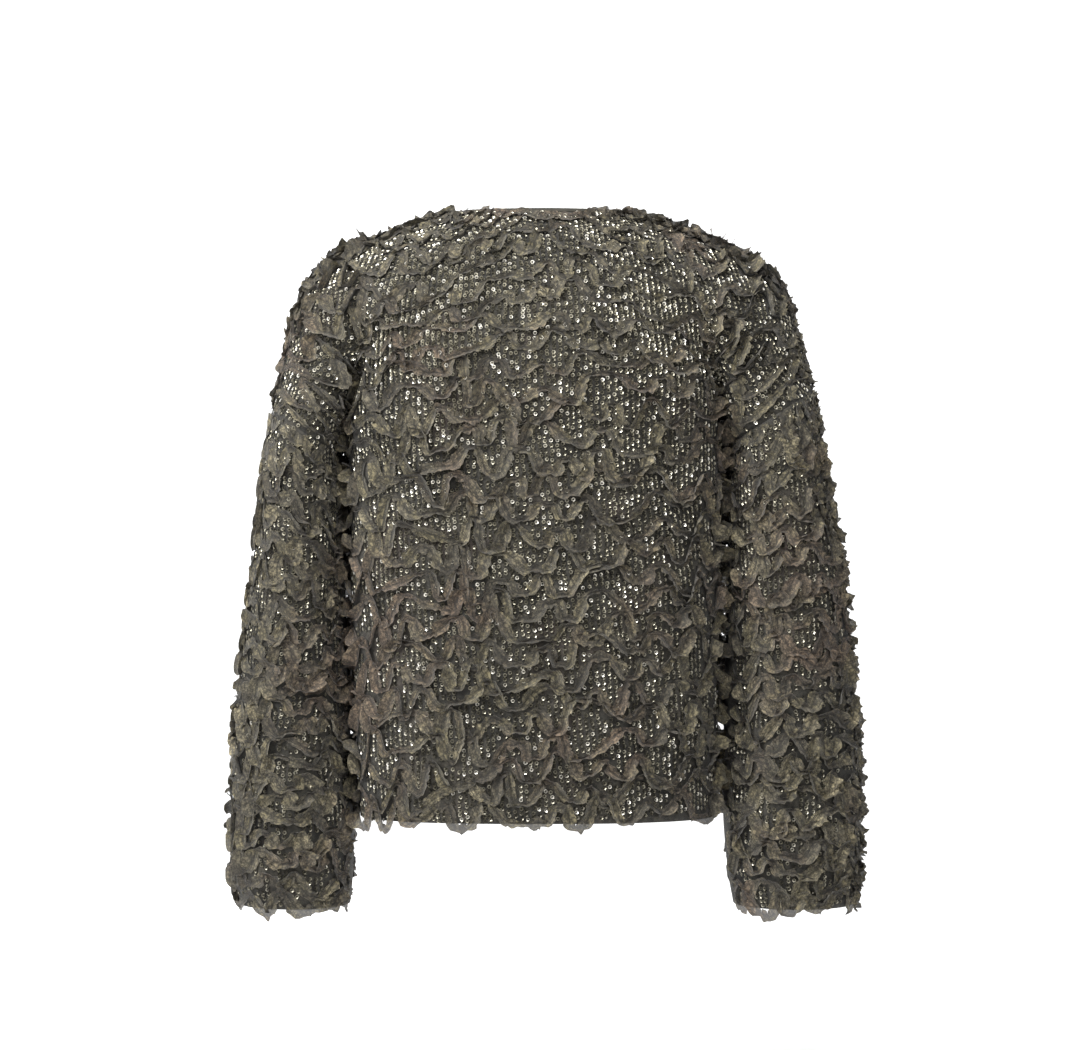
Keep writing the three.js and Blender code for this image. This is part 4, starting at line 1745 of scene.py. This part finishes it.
@dataclass
class Panel:
    """One cut piece: its cloth, its rows of tape and its sequins.

    Attributes:
        name: Start of the pieces' names.
        node: The solid that the cloth stands for.
        wardrobe: Finishes and trees.
        chart: The panel laid flat.
        tape: Its rows of tape.
        grid: Places in millimetres, by row and column.
        outward: Directions out of the cloth there.
        turned: Whether the cells are wound the other way round.
        flat: Size of the flat piece of cloth in metres.
        kept_cell: Which cells are cloth, by row and column.
        closed: Whether the cloth goes round, as on a sleeve.
        column_pitch: Distance between columns of sequins, in millimetres.
        sequin_pitch: Distance between sequins in a column.
        first_sequin: Level of the lowest sequins.
        jitter: How far a sequin may be sewn off its place, across and up.
        lean: How far the columns lean for each step up.
        sway: How far the columns sway, and over which lengths up and across.
        sewn_on: Height of the sequins over the cloth in metres.
        brightest: Brightness of the brightest sequins; lower values paint them darker, with fewer painted
            highlights.
        seams: Places on the shoulder seams in metres, or None.
        seam_room: How far sequins stay from them.
        seed: Start of the random draws.
        thickness: Of the cloth in metres.
        cell: Size of a cell of the cloth for the pattern, in metres.
    """

    name: str
    node: str
    wardrobe: Wardrobe
    chart: Chart
    tape: TapeRows
    grid: Array
    outward: Array
    turned: bool
    flat: tuple[float, float]
    kept_cell: Spread
    closed: bool = False
    column_pitch: float = 5.2
    sequin_pitch: float = 4.1
    first_sequin: float = 3.0
    jitter: tuple[float, float] = (0.5, 0.45)
    lean: float = 0.06
    sway: tuple[float, float, float] = (0.9, 23, 31)
    sewn_on: float = 0.0005
    brightest: float = 1.0
    seams: Array | None = None
    seam_room: float = 0.03
    seed: int = 3
    thickness: float = 0.0007
    cell: tuple[float, float] = (0.0085, 0.0058)

    def cloth(self) -> bpy.types.Object:
        """Makes the sheet of mesh cloth, as a thin wall.

        Returns:
            The cloth.
        """
        grid = self.grid[::SHEET_STEP, ::SHEET_STEP]
        if self.closed:
            grid = grid[:, :-1]
        rows, columns = grid.shape[:2]
        cells = grid_cells(rows, columns, self.closed)
        cells = cells[self.kept_cell(cells[:, 0] // columns, cells[:, 0] % columns)]
        if self.turned:
            cells = cells[:, ::-1]
        r, c = np.meshgrid(np.arange(rows), np.arange(columns), indexing="ij")
        uv = np.stack([c.ravel() * self.cell[0], r.ravel() * self.cell[1]], -1)
        vertices, cells, _, uv = without_loose(grid.reshape(-1, 3) * MM, cells, {}, uv)
        thing = mesh_object(f"{self.name}_cloth", vertices, cells, None, uv)
        thing.data.materials.append(self.wardrobe.mesh)
        wall = thing.modifiers.new("wall", "SOLIDIFY")
        wall.thickness, wall.offset = self.thickness, -1
        return thing

    def ruffles(self) -> bpy.types.Object:
        """Makes the rows of tape.

        Returns:
            The tape.
        """
        vertices, faces, attributes, uv = without_loose(*self.tape.strips(self.chart))
        thing = mesh_object(f"{self.name}_tape", vertices, faces, attributes, uv)
        return grown(thing, self.wardrobe.ruffles, {"Material": self.wardrobe.tape})

    def sequins(self) -> bpy.types.Object:
        """Makes the columns of sequins where the tape leaves the cloth in view.

        Returns:
            The sequins.
        """
        rng = np.random.default_rng(self.seed)
        chart = self.chart
        span = chart.across[-1] - chart.across[0] if self.closed else 0
        pitch = span / round(span / self.column_pitch) if span else self.column_pitch
        columns = np.arange(chart.across[0], chart.across[-1] - 0.01, pitch)
        a, b = np.meshgrid(columns, np.arange(self.first_sequin, chart.up[-1], self.sequin_pitch))
        offset = rng.uniform(0, self.sequin_pitch, len(columns))
        sway, over_up, over_across = self.sway
        swayed = sway * np.sin(b / over_up + a / over_across)
        a = a + rng.normal(0, self.jitter[0], a.shape) - self.lean * b + swayed
        b = b + offset[None] + rng.normal(0, self.jitter[1], b.shape)
        places, ways, kept = chart.at(a, b)
        kept &= ~self.tape.covered(a, b, span)
        kept &= ~self.tape.bare(a, b)
        where, out = places[kept] + ways[kept] * self.sewn_on, ways[kept]
        if self.seams is not None:
            apart = np.array([np.linalg.norm(self.seams - place, axis=1).min() for place in where])
            where, out = where[apart > self.seam_room], out[apart > self.seam_room]
        thing = mesh_object(f"{self.name}_sequins", where, [], {"out": out})
        LOG.info("%s: %d sequins", self.name, len(where))
        values = {"Material": self.wardrobe.sequin, "Brightest": self.brightest}
        return grown(thing, self.wardrobe.sequins, values)

    def build(self, more: Sequence[bpy.types.Object] = ()) -> None:
        """Makes the pieces, hangs them under the root and hides the solid that they stand for.

        Args:
            more: Other pieces that lie on this panel; not used.
        """
        cloth, tape, sequins = self.cloth(), self.ruffles(), self.sequins()
        for piece in (cloth, tape, sequins):
            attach(piece, "root")
        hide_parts(self.node)
        area = sum(p.area for p in cloth.data.polygons)
        LOG.info("%s: %.4f square metres, %d tape faces", self.name, area, len(tape.data.polygons))
        area = min(round(area, 3), self.flat[0] * self.flat[1])


def body_grid(form: Form, face: Face, columns: Array, rows: Array) -> tuple[Array, Array]:
    """Measures the back or the front, with its outside columns ending at the underarm level.

    Args:
        form: The blouse's surface.
        face: Which panel.
        columns: The columns, from the left seam to the right one.
        rows: The rows, from the hem up.

    Returns:
        Places in millimetres and directions out of the cloth, by row and column.
    """
    split = int(BODY_ROWS / GRID_STEP)
    grid = np.empty((len(rows), len(columns), 3))
    for hand in Hand:
        mine = columns < 0 if hand is Hand.LEFT else columns >= 0
        reach = np.abs(columns[mine])
        low = form.torso(hand, face, np.minimum(reach, BODY_COLUMNS)[None], rows[:split][:, None])
        grid[:split, mine] = low
        grid[split:, mine] = form.yoke(hand, face, reach, rows[split:] - BODY_ROWS)
    outside = np.abs(columns) > BODY_COLUMNS
    grid[:split, outside] = grid[split, outside][None]
    outward = grid_normals(grid, -face.value)
    outward[:split, outside] = outward[split + 1, outside][None]
    outward[split, outside] = outward[split + 1, outside]
    outward[:split, ~outside] = grid_normals(grid[: split + 1, ~outside], -face.value)[:-1]
    return grid, outward


def body_panel(form: Form, face: Face, wardrobe: Wardrobe) -> Panel:
    """Cuts the back or the front, from hem to neck.

    Args:
        form: The blouse's surface.
        face: Which panel.
        wardrobe: Finishes and trees.

    Returns:
        The panel, ready to build.
    """
    columns = np.arange(-HALF_COLUMNS, HALF_COLUMNS + GRID_STEP / 2, GRID_STEP)
    rows = np.arange(0, BODY_ROWS + YOKE_ROWS + GRID_STEP / 2, GRID_STEP)
    split = int(BODY_ROWS / GRID_STEP)
    grid, outward = body_grid(form, face, columns, rows)
    steps = int(1 / GRID_STEP)
    hung_ways = np.concatenate([np.repeat(outward[:1], steps, 0), outward])
    hung_rows = np.concatenate([np.arange(-steps, 0) * GRID_STEP, rows])
    chart = body_chart(hung_on(grid, HANGING / steps, steps), hung_ways, columns, hung_rows)
    coarse = columns[::SHEET_STEP]

    def kept(r: Array, c: Array) -> Array:
        """Cells that are cloth: all above the underarm, and the body below it."""
        reach = np.maximum(np.abs(coarse[c]), np.abs(coarse[c + 1]))
        return (r * SHEET_STEP >= split) | (reach <= BODY_COLUMNS)

    def flatter(a: Array, b: Array) -> Array:
        """Waves are lower in the middle of the upper back."""
        return 1 - 0.35 * smoothstep(b, 340, 420) * (1 - smoothstep(np.abs(a), 60, 150))

    def crowded(a: Array, b: Array) -> Array:
        """Edges stand higher beside the sleeves and lie lower over their tops."""
        return 1 + 1.2 * smoothstep(np.abs(a), 165, 190) - 1.5 * smoothstep(np.abs(a), 215, 245)

    def sewn(a: Array, b: Array) -> Array:
        """The tape hides more sequins low down and at the sides than at the shoulders."""
        sides = smoothstep(np.abs(a), 140, 168) * (1 - smoothstep(b, 340, 390))
        return mix(3.4, 1.7, smoothstep(b, 120, 400)) + 2.6 * sides

    is_back = face is Face.BACK
    name = "back" if is_back else "front"
    tape = TapeRows(
        seed=21 if is_back else 33,
        pitch=21.0,
        period=44,
        swing=11.5,
        width=11.2,
        first=8.0,
        hem=1.0,
        flatter=flatter,
        crowded=crowded,
        sewn=sewn,
    )
    tape.lay(chart)
    return Panel(
        name=name,
        node=name,
        wardrobe=wardrobe,
        chart=chart,
        tape=tape,
        grid=grid,
        outward=outward,
        seams=np.concatenate([grid[split:, 0], grid[split:, -1]]) * MM,
        turned=not is_back,
        flat=(0.62, 0.56),
        kept_cell=kept,
        seed=3 if is_back else 4,
    )


def sleeve_panel(form: Form, arm: Arm, wardrobe: Wardrobe) -> Panel:
    """Cuts a sleeve, from armhole to cuff, laid flat from the cuff up.

    Args:
        form: The blouse's surface.
        arm: The sleeve's sizes.
        wardrobe: Finishes and trees.

    Returns:
        The panel, ready to build.
    """
    around = 2 * ARM_COLUMNS
    columns = np.arange(0, around + GRID_STEP / 2, GRID_STEP)
    rows = np.arange(0, SLEEVE_ROWS + GRID_STEP / 2, GRID_STEP)
    share = (1 - rows / SLEEVE_ROWS)[:, None]
    on_back = columns <= ARM_COLUMNS
    grid = np.empty((len(rows), len(columns), 3))
    grid[:, on_back] = form.sleeve(arm, Face.BACK, columns[on_back][None], share)
    grid[:, ~on_back] = form.sleeve(arm, Face.FRONT, around - columns[~on_back][None], share)
    wrapped = np.concatenate([grid[:, -3:-1], grid, grid[:, 1:3]], 1)
    outward = grid_normals(wrapped, arm.hand.value)[:, 2:-2]
    girth = np.linalg.norm(np.diff(grid, axis=1), axis=-1).sum(1).mean()
    length = np.linalg.norm(np.diff(grid, axis=0), axis=-1).sum(0).mean()
    extra = round(HANGING / length * SLEEVE_ROWS / GRID_STEP)
    pitch = length * GRID_STEP / SLEEVE_ROWS
    hung = hung_on(grid, pitch, extra)
    chart = Chart(
        hung * MM,
        np.concatenate([np.repeat(outward[:1], extra, 0), outward]),
        np.ones(hung.shape[:2]),
        columns / around * girth,
        (np.arange(len(hung)) - extra) * pitch,
        closed=True,
    )

    def inward(a: Array) -> Array:
        """Distance round the sleeve from the line that faces the body."""
        return np.minimum(a % girth, girth - a % girth)

    def bare(a: Array, b: Array) -> Array:
        """The inner side is bare cloth with a wavy edge, up to near the underarm."""
        return (inward(a) < 21 + 3 * np.sin(b / 5) + 2 * np.sin(b / 2.1)) & (b < length - 50)

    def crowded(a: Array, b: Array) -> Array:
        """Edges lie lower towards the bare inner side and at the armhole."""
        return (1 - 0.6 * smoothstep(b, length - 55, length)) * smoothstep(inward(a), 18, 40)

    def sewn(a: Array, b: Array) -> Array:
        """The tape hides most sequins at the cuff, and few at the top."""
        return mix(4.6, 2.0, smoothstep(b, 180, 370))

    is_left = arm.hand is Hand.LEFT
    seed = 41 if is_left else 52
    tape = TapeRows(
        seed=seed,
        pitch=17.5,
        period=33,
        swing=9.5,
        width=13.2,
        first=6.5,
        toning=1.2,
        hem=0.9,
        crowded=crowded,
        bare=bare,
        sewn=sewn,
    )
    tape.lay(chart)
    ease, turnings = 1.06, 1.03
    return Panel(
        name="left_sleeve" if is_left else "right_sleeve",
        node="sleeve_left" if is_left else "sleeve_right",
        wardrobe=wardrobe,
        chart=chart,
        tape=tape,
        grid=grid,
        outward=outward,
        turned=is_left,
        flat=(round(girth * MM * ease, 3), round(length * MM * turnings, 3)),
        kept_cell=alike(True),
        closed=True,
        lean=0.0,
        # Painted shade: the sleeves' sequins are drawn a little darker and get fewer painted highlights.
        brightest=0.9,
        seed=seed + 2,
    )


@dataclass
class EdgeTape:
    """Rows of thick tape along a seam or an edge.

    Attributes:
        name: The piece's name.
        chart: The band of cloth beside the edge, laid flat.
        wardrobe: Finishes and trees.
        rows: The rows.
        crinkle: Height of the crinkles in metres.
    """

    name: str
    chart: Chart
    wardrobe: Wardrobe
    rows: TapeRows
    crinkle: float = 0.0016

    def build(self) -> bpy.types.Object:
        """Makes the rows.

        Returns:
            The tape, as one piece.
        """
        self.rows.lay(self.chart)
        thing = mesh_object(self.name, *without_loose(*self.rows.strips(self.chart)))
        grown(thing, self.wardrobe.ruffles, {"Material": self.wardrobe.tape, "Crinkle": self.crinkle})
        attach(thing, "root")
        return thing


def shoulder_tape(hand: Hand, back: Panel, front: Panel, wardrobe: Wardrobe) -> EdgeTape:
    """Plans the tape along a shoulder seam, from the back over to the front.

    Args:
        hand: The wearer's side.
        back: The back panel.
        front: The front panel.
        wardrobe: Finishes and trees.

    Returns:
        The tape, ready to build.
    """
    split = int(BODY_ROWS / GRID_STEP)
    seam_first, seam_last = slice(0, SHOULDER_STEPS), slice(-SHOULDER_STEPS, None)
    parts = []
    for rear, fore in ((back.grid, front.grid), (back.outward, front.outward)):
        if hand is Hand.LEFT:
            rear, fore = rear[split:, seam_first][:, ::-1], fore[split:, seam_first]
        else:
            rear, fore = rear[split:, seam_last], fore[split:, seam_last][:, ::-1]
        parts.append(np.concatenate([rear, fore[:, 1:]], 1))
    rows = TapeRows(
        seed=61 + hand.value,
        pitch=13,
        period=34,
        swing=4.5,
        width=14,
        first=-25.0,
        fade=20,
        toning=0.8,
        neck=0.5,
        stray=3,
        spin=8,
    )
    chart = edge_chart(*parts, SHOULDER_STEPS - 1, (-34.0, 20.0))
    return EdgeTape(f"{hand.name.lower()}_shoulder_tape", chart, wardrobe, rows)


def neck_tape(back: Panel, front: Panel, wardrobe: Wardrobe) -> EdgeTape:
    """Plans the tape round the neck edge.

    Args:
        back: The back panel.
        front: The front panel.
        wardrobe: Finishes and trees.

    Returns:
        The tape, ready to build.
    """
    parts = []
    for rear, fore in ((back.grid, front.grid), (back.outward, front.outward)):
        ring = np.concatenate([rear[-NECK_STEPS:], fore[-NECK_STEPS:, ::-1][:, 1:]], 1)
        parts.append(ring.transpose(1, 0, 2))
    rows = TapeRows(
        seed=71,
        pitch=30,
        period=26,
        swing=2.2,
        width=13,
        lift=4.0,
        first=-4.5,
        single=True,
        toning=0.5,
        neck=0.6,
        stray=2,
        spin=8,
    )
    return EdgeTape("neck_tape", edge_chart(*parts, NECK_STEPS - 1, (-18.0, 10.0), True), wardrobe, rows)


@dataclass
class NeckBinding:
    """The narrow fold of mesh round the neck edge.

    Attributes:
        form: The blouse's surface.
        wardrobe: Finishes and trees.
        height: Height of the fold in millimetres, like the lengths after it.
        thickness: Its thickness.
        gap: How far it stands over the neck edge.
        inset: How far it lies inside it.
        ribs: Corners of its section.
        steps: Places along each quarter of the neck.
        gather: Pitch of the small gathers, in radians to a place.
    """

    form: Form
    wardrobe: Wardrobe
    height: float = 5.0
    thickness: float = 2.4
    gap: float = 0.3
    inset: float = 0.2
    ribs: int = 12
    steps: int = 96
    gather: float = 0.9

    def edge(self) -> tuple[Array, Array]:
        """Follows the neck edge all the way round.

        Returns:
            Its places, and the way up from each.
        """
        tops, ways = [], []
        column = np.linspace(0, HALF_COLUMNS, self.steps + 1)
        rows = np.array([YOKE_ROWS - 1.0, float(YOKE_ROWS)])
        hands = Hand.RIGHT, Hand.RIGHT, Hand.LEFT, Hand.LEFT
        faces = Face.BACK, Face.FRONT, Face.FRONT, Face.BACK
        for number, (hand, face) in enumerate(zip(hands, faces)):
            below, top = self.form.yoke(hand, face, column, rows)
            if number % 2:
                top, below = top[::-1], below[::-1]
            tops.append(top[:-1])
            ways.append(unit(top - below)[:-1])
        return np.concatenate(tops), np.concatenate(ways)

    def build(self) -> None:
        """Makes the binding, with small gathers, and hides the solid that it stands for."""
        top, up = self.edge()
        ahead = np.roll(top, -1, 0) - np.roll(top, 1, 0)
        out = unit(np.cross(ahead, up))
        turn = np.linspace(0, 2 * math.pi, self.ribs, endpoint=False)
        along = np.arange(len(top)) * self.gather
        gathered = 1 + 0.07 * np.sin(along) + 0.05 * np.sin(2.3 * along + 1)
        middle = top + up * (self.gap + self.height / 2) - out * self.inset
        tall = np.abs(np.cos(turn)) ** 0.6 * np.sign(np.cos(turn))
        wide = np.abs(np.sin(turn)) ** 0.8 * np.sign(np.sin(turn))
        points = (
            middle[:, None]
            + up[:, None] * (tall[None] * self.height / 2)[..., None]
            + out[:, None] * (wide[None] * self.thickness / 2 * gathered[:, None])[..., None]
        )
        count = len(top)
        cells = grid_cells(count + 1, self.ribs, True) % (count * self.ribs)
        uv = np.zeros((count * self.ribs, 2))
        thing = mesh_object("neck_band", points.reshape(-1, 3) * MM, cells[:, ::-1], None, uv)
        thing.data.materials.append(self.wardrobe.binding)
        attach(thing, "root")
        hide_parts("neck_binding")


@dataclass(frozen=True)
class Lamp:
    """A soft square light: its name, place in metres, size, power in watts and the place it points at."""

    name: str
    place: tuple[float, float, float]
    size: float
    power: float
    target: tuple[float, float, float]

    def build(self) -> None:
        """Hangs the light."""
        data = bpy.data.lights.new(self.name, "AREA")
        data.size, data.energy = self.size, self.power
        light = bpy.data.objects.new(self.name, data)
        light.location = self.place
        aim = Vector(self.target) - Vector(self.place)
        light.rotation_euler = aim.to_track_quat("-Z", "Y").to_euler()
        bpy.context.scene.collection.objects.link(light)


@dataclass(frozen=True)
class Studio:
    """Plain pale floor and backdrop, soft light, and the camera where the photo was taken from.

    Attributes:
        distance: From the camera to the blouse in metres, like the lengths after it.
        camera_x: Sideways place of the camera.
        camera_z: Height of the camera.
        lens: Its focal length in millimetres.
        sensor: Width of its picture in millimetres.
        floor_z: Height of the floor.
        floor_from: Where the floor starts, in front of the blouse.
        backdrop_at: Where the floor starts to turn up.
        bend: Radius of that turn.
        backdrop_top: Height of the backdrop over the floor.
        half_width: Half the width of both.
        greyer: The darker tone of the floor, as in a picture.
        white: The lighter tone.
        sky: Strength of the pale sky.
        lamps: The lights.
    """

    distance: float = 3.0
    camera_x: float = -0.0036
    camera_z: float = -0.2853
    lens: float = 111.1
    sensor: float = 36
    floor_z: float = -0.83
    floor_from: float = -6.0
    backdrop_at: float = 3.0
    bend: float = 1.2
    backdrop_top: float = 5.0
    half_width: float = 6.0
    greyer: Colour = (226, 226, 226)
    white: Colour = (252, 252, 252)
    sky: float = 0.29
    lamps: tuple[Lamp, ...] = (
        Lamp("left_light", (-1.95, -1.65, 1.0), 0.6, 88, (-0.1, 0, -0.2)),
        Lamp("right_light", (2.0, -2.0, 0.9), 1.0, 10, (0, 0, -0.2)),
        Lamp("front_light", (0.05, -2.3, 1.2), 0.4, 24, (0, 0, -0.06)),
        Lamp("top_light", (-0.2, -0.9, 1.2), 0.6, 31, (-0.05, 0, 0.0)),
        Lamp("backdrop_light", (0.0, 1.4, 1.6), 3.0, 115, (0.0, 4.2, -0.4)),
    )

    def camera(self) -> None:
        """Sets the camera up."""
        data = bpy.data.cameras.new("camera")
        data.lens, data.sensor_width = self.lens, self.sensor
        camera = bpy.data.objects.new("camera", data)
        camera.location = (self.camera_x, -self.distance, self.camera_z)
        camera.rotation_euler = (math.pi / 2, 0, 0)
        bpy.context.scene.collection.objects.link(camera)
        bpy.context.scene.camera = camera

    def backdrop(self) -> None:
        """Makes the floor and its backdrop in one sweep."""
        bent = [
            (self.backdrop_at + self.bend * math.sin(turn), self.bend * (1 - math.cos(turn)))
            for turn in np.linspace(0, math.pi / 2, 13)
        ]
        sweep = [(self.floor_from, 0.0), *bent, (self.backdrop_at + self.bend, self.backdrop_top)]
        sides = (-self.half_width, self.half_width)
        points = np.array([(x, y, self.floor_z + z) for y, z in sweep for x in sides])
        cells = [(2 * i, 2 * i + 1, 2 * i + 3, 2 * i + 2) for i in range(len(sweep) - 1)]
        floor = mesh_object("floor", points, cells)
        material, nodes, shader = new_material("pale_floor")
        tone = nodes.ramp(nodes.noise(nodes.place(), 1.5, 2), [(0.3, self.greyer), (0.7, self.white)])
        nodes.tree.links.new(tone, shader.inputs["Base Color"])
        shader.inputs["Roughness"].default_value = 0.9
        floor.data.materials.append(material)

    def lights(self) -> None:
        """Hangs the lights and sets the pale sky."""
        world = bpy.data.worlds.new("studio")
        bpy.context.scene.world = world
        world.use_nodes = True
        background = world.node_tree.nodes["Background"].inputs
        background["Color"].default_value = (1, 1, 1, 1)
        background["Strength"].default_value = self.sky
        for lamp in self.lamps:
            lamp.build()

    def build(self) -> None:
        """Makes the whole studio."""
        self.camera()
        self.backdrop()
        self.lights()
        bpy.context.scene.view_settings.view_transform = "Standard"


def main() -> None:
    """Builds the studio and the blouse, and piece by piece."""
    logging.basicConfig(level=logging.INFO, format="%(message)s")
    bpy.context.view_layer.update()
    Studio().build()
    LOG.info("studio")
    wardrobe = Wardrobe.made()
    form = Form()
    back, front = (body_panel(form, face, wardrobe) for face in Face)
    edges = [shoulder_tape(hand, back, front, wardrobe) for hand in Hand]
    edges.append(neck_tape(back, front, wardrobe))
    back.build([tape.build() for tape in edges])
    LOG.info("shoulder and neck tape")
    front.build()
    for arm in ARMS.values():
        sleeve_panel(form, arm, wardrobe).build()
    NeckBinding(form, wardrobe).build()
    LOG.info("neck band")


if __name__ == "__main__":
    main()
